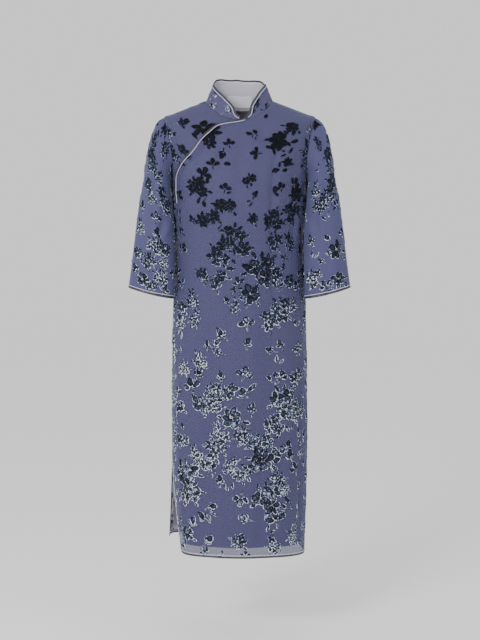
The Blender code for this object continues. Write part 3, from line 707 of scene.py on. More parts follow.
def motif_petals(kind, size, turn, random):
    """The petals of one motif as (x, y, turn, length, width, form), in metres and degrees."""
    motif = MOTIFS[kind]
    petals = [(x, y, way, length, width, form) for x, y, way, length, width, form in motif.leaves]
    for x, y, across, first, count in motif.flowers:
        for step in range(count):
            way = first + 360 * step / count + random.uniform(-7, 7)
            length = across * random.uniform(*PETAL_LENGTHS)
            foot = PETAL_FOOT * across
            place = (x - foot * np.sin(radians(way)), y + foot * np.cos(radians(way)))
            width = across * random.uniform(*PETAL_WIDTHS) / count**CROWDING
            petals.append((*place, way, length, width, "petal"))
    spin = radians(turn)
    turned = []
    for x, y, way, length, width, form in petals:
        place = (x * np.cos(spin) - y * np.sin(spin), x * np.sin(spin) + y * np.cos(spin))
        turned.append((place[0] * size, place[1] * size, way + turn, length * size, width * size, form))
    return turned


def read_grid(grid, row, place):
    """A grid of values read between its points."""
    rows, columns = grid.shape[:2]
    low_row = np.clip(np.floor(row).astype(int), 0, rows - 2)
    low_place = np.clip(np.floor(place).astype(int), 0, columns - 2)
    up, over = (row - low_row)[..., None], (place - low_place)[..., None]
    lower = grid[low_row, low_place] * (1 - over) + grid[low_row, low_place + 1] * over
    upper = grid[low_row + 1, low_place] * (1 - over) + grid[low_row + 1, low_place + 1] * over
    return lower * (1 - up) + upper * up


def lay(cloth, row, place, x, y):
    """Where points x across and y up from a place on a cloth lie on its grid."""
    rows, columns = cloth.points.shape[:2]
    every = np.arange(rows)
    start, end = cloth.start, cloth.end
    turn = np.interp(row, every, start) + np.interp(row, every, end - start) * place / (columns - 1)
    line = np.clip((turn - start) / (end - start) * (columns - 1), 0.5, columns - 1.5)
    path = read_grid(cloth.points, every.astype(float), line)
    run = np.linalg.norm(np.diff(path, axis=0, prepend=path[:1]), axis=-1).cumsum()
    here = np.interp(row, every, run) + y
    rows_at = np.interp(here, run, every)
    beside = [read_grid(cloth.points, every.astype(float), line + half) for half in (0.5, -0.5)]
    for_turn = np.linalg.norm(beside[0] - beside[1], axis=-1) / ((end - start) / (columns - 1))
    turns = turn + x / np.interp(rows_at, every, for_turn)
    starts, ends = np.interp(rows_at, every, start), np.interp(rows_at, every, end)
    places = (turns - starts) / (ends - starts) * (columns - 1)
    outside = (here < run[0]) | (here > run[-1]) | (places < 0) | (places > columns - 1)
    return rows_at, np.clip(places, 0, columns - 1), outside


def velvet(name, cloth, spots, painted_sheen, random):
    """All the velvet motifs on one cloth as a joined mesh. spots are (row, place, motif, size, turn), and the
    function after them gives the painted sheen of the pile at a point. The pile mark holds, for each point,
    how near its petal's edge it is, how much painted sheen it gets, and how far the painted sheen inside the
    petal reaches."""
    pieces, marks, faces, offset = [], [], [], 0
    one = petal_faces()
    per_petal = 1 + 5 * PETAL_SIDES
    for row, place, kind, size, turn in spots:
        tone = random.uniform(0.85, 1.0)
        for order, (x0, y0, way, length, width, form) in enumerate(motif_petals(kind, size, turn, random)):
            shape = petal(length, width, form, random)
            swing = radians(way)
            x = x0 + shape[:, 0] * np.cos(swing) - shape[:, 1] * np.sin(swing)
            y = y0 + shape[:, 0] * np.sin(swing) + shape[:, 1] * np.cos(swing)
            rows_at, places, outside = lay(cloth, row, place, x, y)
            if outside.mean() > CUT_OFF:
                continue
            base = read_grid(cloth.points, rows_at, places)
            normal = unit(read_grid(cloth.normals, rows_at, places))
            lift = shape[:, 2] * PILE + np.where(shape[:, 2] > 0, LAP * (order % LAPS), 0)
            points = base + normal * lift[:, None]
            # Painted highlight: stronger on a motif's lower part and on the rim side that faces SHINY_SIDE,
            # on top of the amount that the place on the dress gives.
            low = 0.5 - y / size
            facing_highlight_side = unit(np.stack([x - x[0], y - y[0]], axis=1) + 1e-9) @ SHINY_SIDE
            lit = np.where(shape[:, 3] > 0.5, 0.85 + 0.4 * facing_highlight_side, 1.0)
            painted_shine = painted_sheen(points) * tone * random.uniform(0.75, 1.05)
            drop = np.clip(0.48 + 0.85 * low, 0.3, 1.0)
            painted_shine = np.clip(painted_shine * lit * (drop + np.clip(painted_shine - 0.6, 0, 1) * 0.9), 0, 1)
            pieces.append(points)
            # How far the painted sheen inside a petal grows towards its tip: strong on about one petal in
            # five.
            inner_sheen = 1.5 if random.random() < 0.2 else random.uniform(0.35, 0.85)
            inner_sheen_reach = np.clip(shape[:, 1] / length, 0, 1) * inner_sheen
            marks.append(np.column_stack([shape[:, 3], painted_shine, inner_sheen_reach]))
            faces += [[corner + offset for corner in face] for face in one]
            offset += per_petal
    return solid(name, np.concatenate(pieces), faces, FINISH["velvet"], pile=np.concatenate(marks))


def scatter(cloth, taken, kinds, spacing, random, allowed=None, tries=6000):
    """Random spots on a cloth, each clear of the ones before. kinds is (motif, size in mm, share)."""
    names = [kind for kind, _, _ in kinds]
    shares = np.array([share for _, _, share in kinds], float)
    rows, columns = cloth.points.shape[:2]
    middles = [np.asarray(place) for place, _ in taken]
    radii = [radius for _, radius in taken]
    spots = []
    for _ in range(tries):
        kind = random.choice(len(names), p=shares / shares.sum())
        size = kinds[kind][1] / 1000 * random.uniform(0.85, 1.15)
        row, place = random.uniform(0, rows - 1), random.uniform(0, columns - 1)
        point = read_grid(cloth.points, np.array(row), np.array(place))
        if allowed is not None and not allowed(point):
            continue
        clear = (np.array(radii) + size / 2) * spacing
        if middles and (np.linalg.norm(np.array(middles) - point, axis=1) < clear).any():
            continue
        middles.append(point)
        radii.append(size / 2)
        spots.append((row, place, names[kind], size, random.uniform(-35, 35)))
    return spots


def seated(cloth, table, facing=-1):
    """Listed spots as places on the cloth's grid. facing is -1 for what is seen from the front."""
    spots = []
    for spot in table:
        away = (cloth.points[..., 0] - spot.x / 1000) ** 2 + (cloth.points[..., 2] - spot.z / 1000) ** 2
        away = np.where(cloth.normals[..., 1] * facing > 0, away, 9)
        row, place = np.unravel_index(np.argmin(away), away.shape)
        if away[row, place] < (0.004 + spot.size / 2500) ** 2:
            spots.append((float(row), float(place), spot.motif, MOTIF_SCALE * spot.size / 1000, spot.turn))
    return spots


# The front, listed from the photo.
SPOTS = [Spot(*row) for row in (
    (-140, -55, "flower", 31, 10), (-180, -75, "flower", 33, -20), (-160, -85, "leaf", 17, -40),
    (-180, -100, "leaves", 19, 20), (-185, -130, "flower", 38, 30), (-88, -72, "star", 56, -20),
    (-110, -92, "leaf", 20, 60), (-72, -112, "star", 32, -14), (-140, -125, "flower", 26, 0),
    (-155, -145, "three", 22, 30), (-125, -140, "pair", 22, 70), (-140, -160, "three", 19, -20),
    (-25, -115, "three", 26, 10), (-40, -140, "bud", 29, 150), (-30, -165, "leaf", 19, 75),
    (-65, -165, "three", 29, 0), (-85, -190, "three", 36, -30), (-75, -205, "leaf", 17, 0),
    (-100, -220, "cluster", 53, 35), (-125, -215, "leaves", 22, 80), (-35, -225, "three", 26, -10),
    (-25, -235, "leaf", 12, -60), (-90, -255, "two buds", 31, 160), (35, -90, "two buds", 31, 20),
    (40, -140, "three", 29, 85), (25, -210, "pair", 33, 30), (35, -245, "bud", 22, -40),
    (25, -260, "leaves", 19, 130), (65, -40, "leaf", 17, 130), (95, -106, "flower", 50, 20),
    (70, -122, "leaf", 17, 60), (84, -134, "leaf", 17, 20), (132, -68, "flower", 38, -10),
    (135, -105, "leaf", 22, 80), (112, -84, "leaf", 15, 40), (105, -140, "leaves", 22, 100),
    (125, -130, "leaf", 17, -30), (115, -160, "flower", 26, 30), (95, -165, "leaf", 14, 0),
    (85, -180, "leaf", 22, 100), (110, -180, "leaf", 17, 90), (135, -205, "three", 31, -30),
    (100, -220, "three", 26, 20), (85, -230, "leaf", 22, 0), (90, -240, "leaf", 14, 40),
    (140, -235, "flower", 38, 40), (170, -70, "leaves", 26, 20), (180, -90, "leaves", 22, -50),
    (170, -125, "spray", 57, 10), (160, -160, "three", 29, 30), (-45, -265, "flower", 36, 20),
    (-20, -270, "flower", 33, -10), (-115, -300, "bud", 24, 20), (-85, -300, "flower", 36, 40),
    (-60, -295, "flower", 31, 10), (-45, -320, "leaves", 19, -60), (-15, -340, "cluster", 57, -30),
    (-45, -375, "spray", 67, -20), (10, -375, "flower", 36, 60), (-20, -410, "leaves", 36, 70),
    (-70, -385, "leaf", 22, 80), (35, -300, "flower", 26, -20), (80, -300, "cluster", 53, 40),
    (125, -280, "cluster", 48, -20), (85, -350, "cluster", 43, 0), (120, -350, "spray", 41, 20),
    (55, -420, "cluster", 79, 10), (110, -390, "bud", 22, 60), (105, -415, "bud", 22, -20),
    (90, -435, "flower", 29, 10), (-90, -430, "flower", 31, 0), (-85, -445, "two buds", 26, 20),
    (-45, -435, "flower", 31, 30), (-60, -455, "flower", 31, -20), (0, -450, "three", 29, 20),
    (-15, -470, "bud", 22, -30), (-5, -485, "leaves", 22, 30), (25, -480, "flower", 45, 0),
    (-115, -490, "spray", 43, 10), (-140, -510, "flower", 33, 0), (-110, -535, "spray", 43, -20),
    (-145, -545, "cluster", 36, 30), (-145, -575, "leaves", 29, 170), (-30, -495, "bud", 24, 15),
    (-10, -510, "pair", 29, 70), (20, -500, "two buds", 26, -10), (120, -450, "flower", 36, 20),
    (140, -455, "three", 29, 50), (95, -460, "two buds", 24, 0), (100, -515, "cluster", 57, 15),
    (75, -540, "cluster", 48, -30), (130, -505, "pair", 33, 80), (140, -545, "leaves", 31, 10),
    (15, -550, "three", 36, 10), (-40, -575, "bud", 36, 30), (-60, -595, "bud", 31, -60),
    (-50, -620, "bud", 29, 60), (-80, -605, "bud", 26, -10), (-95, -640, "spray", 45, 15),
    (-135, -660, "cluster", 36, 60), (-100, -670, "bud", 38, -40), (-115, -700, "three", 43, 20),
    (20, -600, "bud", 31, -25), (100, -600, "bud", 29, 10), (75, -615, "bud", 29, 60),
    (95, -635, "leaves", 29, -20), (-45, -675, "bud", 29, 0), (-60, -715, "cluster", 50, 30),
    (-25, -710, "flower", 38, 20), (-95, -745, "flower", 43, -15), (-65, -745, "cluster", 45, 50),
    (15, -670, "three", 38, -15), (30, -700, "leaf", 26, -50), (10, -715, "bud", 31, 20),
    (80, -680, "two buds", 31, 30), (100, -675, "three", 33, -20), (110, -740, "cluster", 77, 10),
    (85, -790, "cluster", 55, 40), (140, -760, "cluster", 53, -30), (120, -800, "leaves", 26, 20),
    (30, -755, "bud", 36, -10), (-20, -775, "flower", 53, 30), (5, -815, "cluster", 45, 10),
    (-50, -810, "spray", 53, 20), (-60, -850, "cluster", 53, -20), (-105, -865, "spray", 43, 20),
    (-70, -900, "two buds", 41, 20), (-85, -885, "flower", 31, 0), (55, -845, "cluster", 62, 0),
    (55, -880, "flower", 57, 20), (95, -865, "three", 43, 60), (115, -845, "bud", 31, -20),
    (-20, -890, "spray", 43, -40), (15, -910, "pair", 48, 40), (-45, -925, "bud", 33, -10),
    (-25, -935, "leaves", 31, 20), (15, -905, "leaves", 24, 60), (75, -895, "bud", 29, 10),
    (90, -925, "cluster", 41, -20), (70, -970, "cluster", 74, 20), (105, -945, "spray", 41, 30),
    (115, -985, "two buds", 36, 60), (85, -1015, "three", 48, 15), (75, -1040, "leaves", 29, -30),
    (5, -970, "three", 38, 170), (15, -1015, "bud", 33, 60), (-70, -990, "bud", 31, -80),
    (-85, -1015, "bud", 36, 40), (-65, -1010, "leaves", 26, 230), (-130, -920, "cluster", 72, 10),
    (-120, -960, "cluster", 57, 60), (-140, -980, "leaves", 36, 170), (-115, -1030, "bud", 33, -30),
    (-125, -1055, "flower", 36, 10), (-135, -1085, "three", 26, 30), (-75, -1070, "bud", 33, -60),
    (-5, -1070, "flower", 38, 10), (-85, -1100, "pair", 26, 60), (-45, -1100, "leaves", 22, 60),
    (15, -1100, "three", 22, 0), (80, -1080, "spray", 43, 20), (130, -1060, "spray", 48, -10),
    (145, -1080, "leaves", 26, 20), (125, -870, "bud", 38, 10), (150, -825, "two buds", 43, 0),
    (135, -900, "three", 36, 20),
)]

# The front of both sleeves, and the front of the collar.
SLEEVE_SPOTS = [Spot(*row) for row in (
    (-180, -70, "flower", 31, 20), (-195, -80, "leaves", 29, 40), (-210, -100, "spray", 39, 10),
    (-185, -125, "cluster", 36, 0), (-215, -135, "flower", 36, 30), (-210, -165, "cluster", 41, 60),
    (-195, -195, "spray", 34, -20), (-220, -210, "flower", 31, 0), (-215, -240, "spray", 36, 20),
    (-185, -235, "flower", 31, 40), (-180, -265, "cluster", 41, 10), (-200, -290, "three", 31, 0),
    (-235, -265, "bud", 29, 0), (-240, -310, "spray", 36, 10), (-200, -335, "bud", 34, -10),
    (-205, -360, "cluster", 41, 30), (-180, -370, "flower", 36, -20), (-185, -400, "spray", 31, 20),
    (-220, -395, "cluster", 39, -30), (-245, -375, "flower", 31, 0), (-250, -415, "bud", 31, 30),
    (-190, -435, "cluster", 39, 50), (-210, -460, "pair", 29, 20), (-235, -445, "flower", 34, 10),
    (-180, -465, "three", 27, -20), (-260, -460, "leaves", 24, 0), (-165, -430, "bud", 24, 10),
    (195, -105, "spray", 34, 0), (215, -135, "flower", 36, 20), (220, -170, "spray", 34, 30),
    (190, -170, "leaves", 24, 30), (225, -205, "flower", 44, 0), (215, -235, "cluster", 44, 40),
    (185, -225, "spray", 39, -10), (195, -260, "cluster", 44, 20), (210, -290, "leaves", 29, 30),
    (235, -260, "three", 27, 40), (175, -350, "bud", 36, 10), (180, -380, "leaves", 29, -20),
    (235, -370, "flower", 41, 30), (255, -385, "leaves", 27, 60), (210, -340, "leaf", 22, 40),
    (175, -440, "cluster", 44, 10), (205, -455, "three", 29, 30), (240, -440, "flower", 39, 50),
    (220, -465, "leaves", 24, 80), (260, -460, "bud", 24, 0), (200, -400, "bud", 22, 40),
    (250, -325, "three", 24, 0),
)]

COLLAR_SPOTS = [Spot(*row) for row in (
    (-66, -12, "cluster", 23, 30), (-28, -20, "spray", 22, 10), (-60, 18, "flower", 13, 0),
    (-45, -30, "leaves", 13, 60), (-74, 8, "leaf", 9, 20), (43, -5, "cluster", 23, 10),
    (68, -12, "three", 15, 40), (56, 24, "bud", 13, 0), (33, -28, "flower", 15, 20),
    (54, -28, "leaves", 13, 80),
)]


# Materials.


def linear(colour):
    """An sRGB hex colour as linear red, green, blue and alpha."""
    shares = [int(colour[place:place + 2], 16) / 255 for place in (1, 3, 5)]
    made = [share / 12.92 if share <= 0.04045 else ((share + 0.055) / 1.055) ** 2.4 for share in shares]
    return made + [1.0]


def add(tree, kind, inputs=None, **settings):
    """Adds one node. inputs are values or other nodes' outputs, by socket name or number."""
    node = tree.nodes.new(kind)
    for setting, value in settings.items():
        setattr(node, setting, value)
    for name, value in (inputs or {}).items():
        if isinstance(value, bpy.types.NodeSocket):
            tree.links.new(value, node.inputs[name])
        else:
            node.inputs[name].default_value = value
    return node


def cloth_finish(name, inputs, colour=None, pitch=0.0009, relief=0.12, weave=0.00006):
    """A woven cloth: plain-weave threads of one pitch, read from its threads mark, and its own inputs."""
    made = bpy.data.materials.new(name)
    made.use_nodes = True
    tree = made.node_tree
    tree.nodes.clear()
    threads = add(tree, "ShaderNodeAttribute", attribute_name="threads")
    turns = add(tree, "ShaderNodeVectorMath", {0: threads.outputs["Vector"], 1: (2 * pi / pitch,) * 3},
                operation="MULTIPLY")
    ways = add(tree, "ShaderNodeSeparateXYZ", {0: turns.outputs[0]})
    warp = add(tree, "ShaderNodeMath", {0: ways.outputs["X"]}, operation="SINE")
    weft = add(tree, "ShaderNodeMath", {0: ways.outputs["Y"]}, operation="SINE")
    over = product(tree, warp.outputs[0], weft.outputs[0])
    bump = add(tree, "ShaderNodeBump", {"Strength": relief, "Distance": weave, "Height": over})
    shader = add(tree, "ShaderNodeBsdfPrincipled", {"Normal": bump.outputs[0]})
    for socket, value in inputs.items():
        shader.inputs[socket].default_value = value
    if colour is not None:
        tree.links.new(colour(tree, threads.outputs["Vector"]), shader.inputs["Base Color"])
    add(tree, "ShaderNodeOutputMaterial", {"Surface": shader.outputs[0]})
    return made


def product(tree, one, other):
    """The output of a node that multiplies two values."""
    return add(tree, "ShaderNodeMath", {0: one, 1: other}, operation="MULTIPLY").outputs[0]


def crepe_colour(tree, where):
    """Slightly uneven dye: highly twisted crepe yarn takes it in short flecks, stretched along the warp."""
    spread = add(tree, "ShaderNodeVectorMath", {0: where, 1: (260.0, 90.0, 1.0)}, operation="MULTIPLY")
    flecks = add(tree, "ShaderNodeTexNoise", {"Vector": spread.outputs[0], "Scale": 1.0, "Detail": 2.0})
    mixed = add(tree, "ShaderNodeMix", {
        "Factor": flecks.outputs["Fac"], 6: linear("#4b4a6f"), 7: linear("#4d4c72"),
    }, data_type="RGBA")
    return mixed.outputs[2]


def velvet_finish():
    """Cut pile left by the burn-out: black, with painted sheen where the pile mark asks for it: pale at a
    petal's ragged edge and, more faintly, in streaks inside it. Its own noise breaks both up."""
    made = bpy.data.materials.new("cut viscose pile, black, with painted sheen at its rims")
    made.use_nodes = True
    tree = made.node_tree
    tree.nodes.clear()
    mark = add(tree, "ShaderNodeAttribute", attribute_name="pile")
    parts = add(tree, "ShaderNodeSeparateXYZ", {0: mark.outputs["Vector"]})
    place = add(tree, "ShaderNodeTexCoord")
    where = place.outputs["Object"]
    tufts = add(tree, "ShaderNodeTexNoise", {"Vector": where, "Scale": 260.0, "Detail": 3.0})
    broken = add(tree, "ShaderNodeMapRange", {0: tufts.outputs["Fac"], 1: 0.41, 2: 0.57, 3: 0.0, 4: 1.35})
    rim = add(tree, "ShaderNodeMapRange", {0: parts.outputs["X"], 1: 0.62, 2: 0.90, 3: 0.0, 4: 1.0},
              interpolation_type="SMOOTHSTEP")
    edge = product(tree, rim.outputs[0], broken.outputs[0])
    # Painted sheen on the rims, scaled by the mark's painted amount.
    painted_sheen = product(tree, edge, parts.outputs["Y"])
    streaks = add(tree, "ShaderNodeTexNoise", {"Vector": where, "Scale": 260.0, "Detail": 2.0})
    # Painted sheen in streaks inside the petal, also scaled by the mark's painted amount.
    inner_sheen = add(tree, "ShaderNodeMapRange", {
        0: streaks.outputs["Fac"], 1: 0.38, 2: 0.66, 3: 0.1, 4: 0.9,
    })
    heart = add(tree, "ShaderNodeMapRange", {0: parts.outputs["X"], 1: 0.15, 2: 0.58, 3: 1.0, 4: 0.0})
    inside = product(tree, product(tree, heart.outputs[0], inner_sheen.outputs[0]), parts.outputs["Z"])
    lit = product(tree, inside, parts.outputs["Y"])
    share = add(tree, "ShaderNodeMath", {0: painted_sheen, 1: lit}, operation="MAXIMUM")
    # The base colour runs from the black pile to pale blue-white as the painted sheen grows.
    tones = add(tree, "ShaderNodeValToRGB", {"Fac": share.outputs[0]})
    tones.color_ramp.elements[0].color = linear("#07080d")
    tones.color_ramp.elements[1].color = linear("#f4f8fc")
    tones.color_ramp.elements.new(0.16).color = linear("#343b52")
    tones.color_ramp.elements.new(0.42).color = linear("#8290ae")
    nap = add(tree, "ShaderNodeTexNoise", {"Vector": where, "Scale": 900.0, "Detail": 1.0})
    bump = add(tree, "ShaderNodeBump", {"Strength": 0.5, "Distance": 0.0004, "Height": nap.outputs["Fac"]})
    shader = add(tree, "ShaderNodeBsdfPrincipled", {
        "Base Color": tones.outputs["Color"], "Roughness": 0.7, "IOR": 1.47, "Specular IOR Level": 0.1,
        "Sheen Weight": 0.15, "Sheen Roughness": 0.3, "Sheen Tint": linear("#a9bccb"),
        "Normal": bump.outputs[0],
    })
    add(tree, "ShaderNodeOutputMaterial", {"Surface": shader.outputs[0]})
    return made


CREPE = {
    "Roughness": 0.8, "IOR": 1.54, "Specular IOR Level": 0.2, "Sheen Weight": 0.3, "Sheen Roughness": 0.5,
    "Sheen Tint": linear("#9fb8d0"),
}
FINISH = {
    # Sheer crepe yarn scatters light softly, so the ground looks chalky and lets the slip show through.
    "georgette": cloth_finish("crepe georgette, woven sheer and piece dyed blue", {
        "Alpha": 0.56, **CREPE,
    }, crepe_colour),
    # The sleeves look as dense as the lined body, so their cloth lets much less through.
    "sleeve georgette": cloth_finish("crepe georgette, doubled in the sleeves", {
        "Alpha": 0.86, **CREPE,
    }, crepe_colour),
    # Long floats lie flat on a satin, so it has a soft broad gloss.
    "satin": cloth_finish("polyester satin facing, woven with long floats", {
        "Base Color": linear("#b4b1c0"), "Roughness": 0.42, "IOR": 1.57, "Sheen Weight": 0.1,
    }, pitch=0.0008, relief=0.12),
    # A tight smooth taffeta lining, grey plum and slightly shiny, which darkens the ground over it.
    "slip": cloth_finish("plum slip lining, woven tight and calendered", {
        "Base Color": linear("#85808f"), "Roughness": 0.6, "IOR": 1.57, "Specular IOR Level": 0.2,
        "Sheen Weight": 0.1,
    }, pitch=0.0008, relief=0.15),
    "binding": cloth_finish("dark satin binding, cut on the bias and pressed", {
        "Base Color": linear("#26222f"), "Roughness": 0.5, "IOR": 1.57, "Sheen Weight": 0.05,
    }, pitch=0.0008, relief=0.15),
    "piping": cloth_finish("pale satin piping, rolled on a cord", {
        "Base Color": linear("#b6b8cd"), "Roughness": 0.38, "IOR": 1.57, "Sheen Weight": 0.15,
    }, pitch=0.0008, relief=0.15),
    "label": cloth_finish("blank label, woven satin with folded ends", {
        "Base Color": linear("#cfcdd8"), "Roughness": 0.45, "IOR": 1.57,
    }, pitch=0.0007, relief=0.2),
    "thread": cloth_finish("spun polyester sewing thread", {
        "Base Color": linear("#8d8b9c"), "Roughness": 0.6, "IOR": 1.57,
    }),
    "velvet": velvet_finish(),
}


def body_painted_sheen(points):
    """Painted sheen on the pile: hardly any on the chest, more and more down the skirt and round the sides.
    """
    lower = np.interp(-points[:, 2], (0.18, 0.34, 0.48, 0.60), (0.06, 0.30, 0.72, 1.0))
    side = np.clip((np.abs(points[:, 0]) - 0.125) / 0.05, 0, 1) * 0.6
    return np.maximum(lower, side)


# Painted sheen on the sleeves' pile: more and more down the arm.
def sleeve_painted_sheen(points):
    return np.interp(-points[:, 2], (0.03, 0.12, 0.22, 0.48), (0.0, 0.35, 0.6, 0.95))


# Painted sheen on the collar's pile: strong on the wearer's right half, faint on the left.
def collar_painted_sheen(points):
    return np.where(points[:, 0] < 0, 0.95, 0.25)


# The cloths.
LEVELS = level_rows()
start, end = front_limits(LEVELS)
start = np.where(LEVELS >= LEVEL["bust"], opening_angle(LEVELS), start)
FRONT = body_cloth(start, end, LEVELS, PANEL_COLUMNS)

upper = LEVELS[LEVELS >= LEVEL["bust"]]
start, _ = front_limits(upper)
edge = opening_angle(upper)
share = np.linspace(0, 1, UNDER_COLUMNS + 1)
angle = start[:, None] + (edge + UNDERLAP - start)[:, None] * share
clear = edge - UNDER_CLEAR - start
step = ease((angle - start[:, None]) / np.maximum(clear, 0.01)[:, None])
step = np.where(clear[:, None] < UNDER_CLEAR, 1, step)
UNDER = body_cloth(start, edge + UNDERLAP, upper, UNDER_COLUMNS, UNDER_STEP * step)

BACK = body_cloth(*back_limits(LEVELS), LEVELS, PANEL_COLUMNS)

first = LEVEL["hem"] + HEM_ABOVE / (RINGS[1].side_z - RINGS[0].side_z)
kept = np.concatenate([[first], LEVELS[LEVELS > first + 0.01]])
inset = column(RINGS, "inset", kept)[:, None]
SLIP_FRONT = body_cloth(*front_limits(kept), kept, LINING_COLUMNS, inset)
SLIP_BACK = body_cloth(*back_limits(kept), kept, LINING_COLUMNS, inset)

SLEEVES = {"right": sleeve_cloth(-1), "left": sleeve_cloth(1)}
ROUND = (COLLAR_LEFT_END - 360, COLLAR_RIGHT_END)
COLLAR = collar_cloth(*ROUND, 0, 1, COLLAR_COLUMNS, COLLAR_ROWS)
LINED = collar_cloth(*ROUND, 0, 1, COLLAR_COLUMNS, COLLAR_ROWS, SHEER + LAYER)
LABEL = collar_cloth(-LABEL_HALF_ANGLE - 180, LABEL_HALF_ANGLE - 180, LABEL_FROM, LABEL_TO, 40, 14,
                     SHEER + SATIN + 1.5 * LAYER)

for name, cloth, thick, finish, node, slot in (
    ("front_georgette", FRONT, SHEER, "georgette", "front", "velvet_georgette"),
    ("under_front_georgette", UNDER, SHEER, "georgette", "under_front", "velvet_georgette"),
    ("back_georgette", BACK, SHEER, "georgette", "back", "velvet_georgette"),
    ("sleeve_right_georgette", SLEEVES["right"], SHEER, "sleeve georgette", "sleeve_right",
     "velvet_georgette"),
    ("sleeve_left_georgette", SLEEVES["left"], SHEER, "sleeve georgette", "sleeve_left",
     "velvet_georgette"),
    ("collar_georgette", COLLAR, SHEER, "georgette", "collar", "velvet_georgette"),
    ("collar_satin", LINED, SATIN, "satin", "collar_facing", "satin_facing"),
    ("slip_front", SLIP_FRONT, 0.0004, "slip", "lining_front", "slip_lining"),
    ("slip_back", SLIP_BACK, 0.0004, "slip", "lining_back", "slip_lining"),
    ("label_blank", LABEL, 0.0004, "label", "neck_label", "woven_label"),
):
    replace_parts(shell(name, cloth, thick, FINISH[finish]), node)

# The trims.
trims = {}
rows = LEVELS >= LEVEL["bust"]
edge, normal = FRONT.points[rows, 0][::-1], FRONT.normals[rows, 0][::-1]
away = away_from(edge, FRONT.points[rows, 1][::-1], normal)
trims["front"] = edge_trim("opening", edge, away, normal, PIPING_STOP)
trims["back"] = []
slit_rows = column(RINGS, "side_z", LEVELS) < SLIT_TOP_Z
for name, cloth, free, beside in (("front", FRONT, 0, 1), ("back", BACK, -1, -2)):
    edge, normal = cloth.points[slit_rows, free], cloth.normals[slit_rows, free]
    out = away_from(edge, cloth.points[slit_rows, beside], normal)
    trims[name] += edge_trim(f"slit_{name}", edge, out, normal, PIPING_STOP)
    edge, normal = cloth.points[0], cloth.normals[0]
    away = away_from(edge, cloth.points[1], normal)
    wide = edge.copy()
    wide[free] = edge[free] + out[0] * (SEAM + BINDING_WIDTH)
    trims[name] += edge_trim(f"hem_{name}", edge, away, normal, wide=wide)
for name, cloth in SLEEVES.items():
    edge, normal = cloth.points[0], cloth.normals[0]
    away = away_from(edge, cloth.points[1], normal)
    trims[name] = edge_trim(f"cuff_{name}", edge, away, normal)
edge, normal = COLLAR.points[-1], COLLAR.normals[-1]
trims["collar"] = edge_trim("collar", edge, away_from(edge, COLLAR.points[-2], normal), normal)

# The velvet: listed flowers on the front, scattered ones round the sides, back and sleeves. Each row
# below is a motif, its size in millimetres and its share.
random = np.random.default_rng(7)
MIXED = (
    ("cluster", 66, 3), ("spray", 58, 2), ("flower", 42, 3), ("pair", 44, 1.5), ("three", 34, 2),
    ("two buds", 36, 1.5), ("bud", 34, 2), ("leaves", 28, 2), ("leaf", 20, 1.5),
)
SMALL = (
    ("spray", 46, 2), ("flower", 34, 3), ("cluster", 52, 2), ("three", 30, 2), ("bud", 30, 2),
    ("leaves", 24, 2),
)
TINY = (("flower", 24, 3), ("three", 20, 1), ("leaves", 18, 1))


def middles(cloth, spots):
    """Where spots lie and how far they reach, for scatter to keep clear of."""
    return [(read_grid(cloth.points, np.array(row), np.array(place)), size / 2)
            for row, place, _, size, _ in spots]


def at_sides(point):
    """The front's far sides, which the camera sees edge on, below the armholes."""
    return abs(point[0]) > 0.135 and point[2] < -0.2


spots = seated(FRONT, SPOTS)
spots += scatter(FRONT, middles(FRONT, spots), MIXED, 1.0, random, at_sides)
velvets = {"front": velvet("front_velvet", FRONT, spots, body_painted_sheen, random)}
spots = seated(UNDER, SPOTS)
velvets["under"] = velvet("under_front_velvet", UNDER, spots, body_painted_sheen, random)
spots = scatter(BACK, [], MIXED, 1.02, random)
velvets["back"] = velvet("back_velvet", BACK, spots, body_painted_sheen, random)
for name, cloth in SLEEVES.items():
    spots = seated(cloth, SLEEVE_SPOTS)
    spots += scatter(cloth, middles(cloth, spots), SMALL, 1.0, random, lambda p: p[1] > -0.045)
    velvets[name] = velvet(f"sleeve_{name}_velvet", cloth, spots, sleeve_painted_sheen, random)
spots = seated(COLLAR, COLLAR_SPOTS)
spots += scatter(COLLAR, middles(COLLAR, spots), TINY, 0.9, random, lambda p: p[1] > 0)
velvets["collar"] = velvet("collar_velvet", COLLAR, spots, collar_painted_sheen, random)

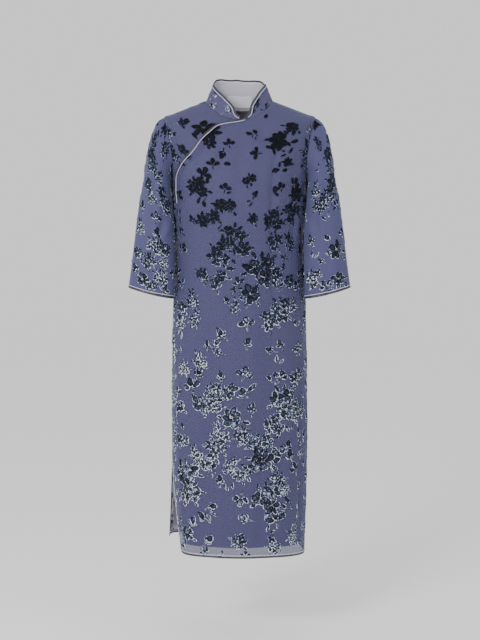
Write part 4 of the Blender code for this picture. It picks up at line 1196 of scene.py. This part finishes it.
# The label's stitches.
ring, outer = [
    np.concatenate([grid[1:-1, 1], grid[-2, 1:-1], grid[-2:0:-1, -2], grid[1, -2:0:-1]])
    for grid in (LABEL.points, LABEL.normals)
]
inward = -outer
label_stitches = stitches("label_stitches", ring + inward * 0.0004, inward, FINISH["thread"])


# Studio: a soft key from the upper left, a weak fill from the right, white all round.


def area_light(name, place, target, size, power):
    lamp = bpy.data.lights.new(name, "AREA")
    lamp.shape, lamp.size, lamp.energy = "DISK", size, power
    light = bpy.data.objects.new(name, lamp)
    light.location = place
    light.rotation_euler = (Vector(target) - Vector(place)).to_track_quat("-Z", "Y").to_euler()
    bpy.context.scene.collection.objects.link(light)
    return light


FLOOR_Z, FLOOR_HALF = -1.32, 60
floor_mesh = bpy.data.meshes.new("floor")
corners = [(x * FLOOR_HALF, y * FLOOR_HALF, FLOOR_Z) for x, y in ((-1, -1), (1, -1), (1, 1), (-1, 1))]
floor_mesh.from_pydata(corners, [], [(0, 1, 2, 3)])
floor = bpy.data.objects.new("floor", floor_mesh)
bpy.context.scene.collection.objects.link(floor)
paint = bpy.data.materials.new("matt white studio floor")
paint.use_nodes = True
paint.node_tree.nodes["Principled BSDF"].inputs["Base Color"].default_value = linear("#ffffff")
paint.node_tree.nodes["Principled BSDF"].inputs["Roughness"].default_value = 0.9
floor_mesh.materials.append(paint)
key = area_light("key", (-1.2, -2.1, 0.5), (0, 0, -0.4), 0.8, 44)
fill = area_light("fill", (1.9, -1.6, 0.4), (0, 0, -0.6), 1.6, 5)

world = bpy.data.worlds.new("white studio")
world.use_nodes = True
world.node_tree.nodes["Background"].inputs["Color"].default_value = linear("#ffffff")
world.node_tree.nodes["Background"].inputs["Strength"].default_value = 1.0
bpy.context.scene.world = world

lens = bpy.data.cameras.new("camera")
lens.sensor_fit, lens.sensor_height, lens.sensor_width, lens.lens = "VERTICAL", 36, 36, 59.6
camera = bpy.data.objects.new("camera", lens)
camera.location = (0.00125, -2.65, -0.54)
camera.rotation_euler = (pi / 2, 0, 0)
bpy.context.scene.collection.objects.link(camera)
bpy.context.scene.camera = camera
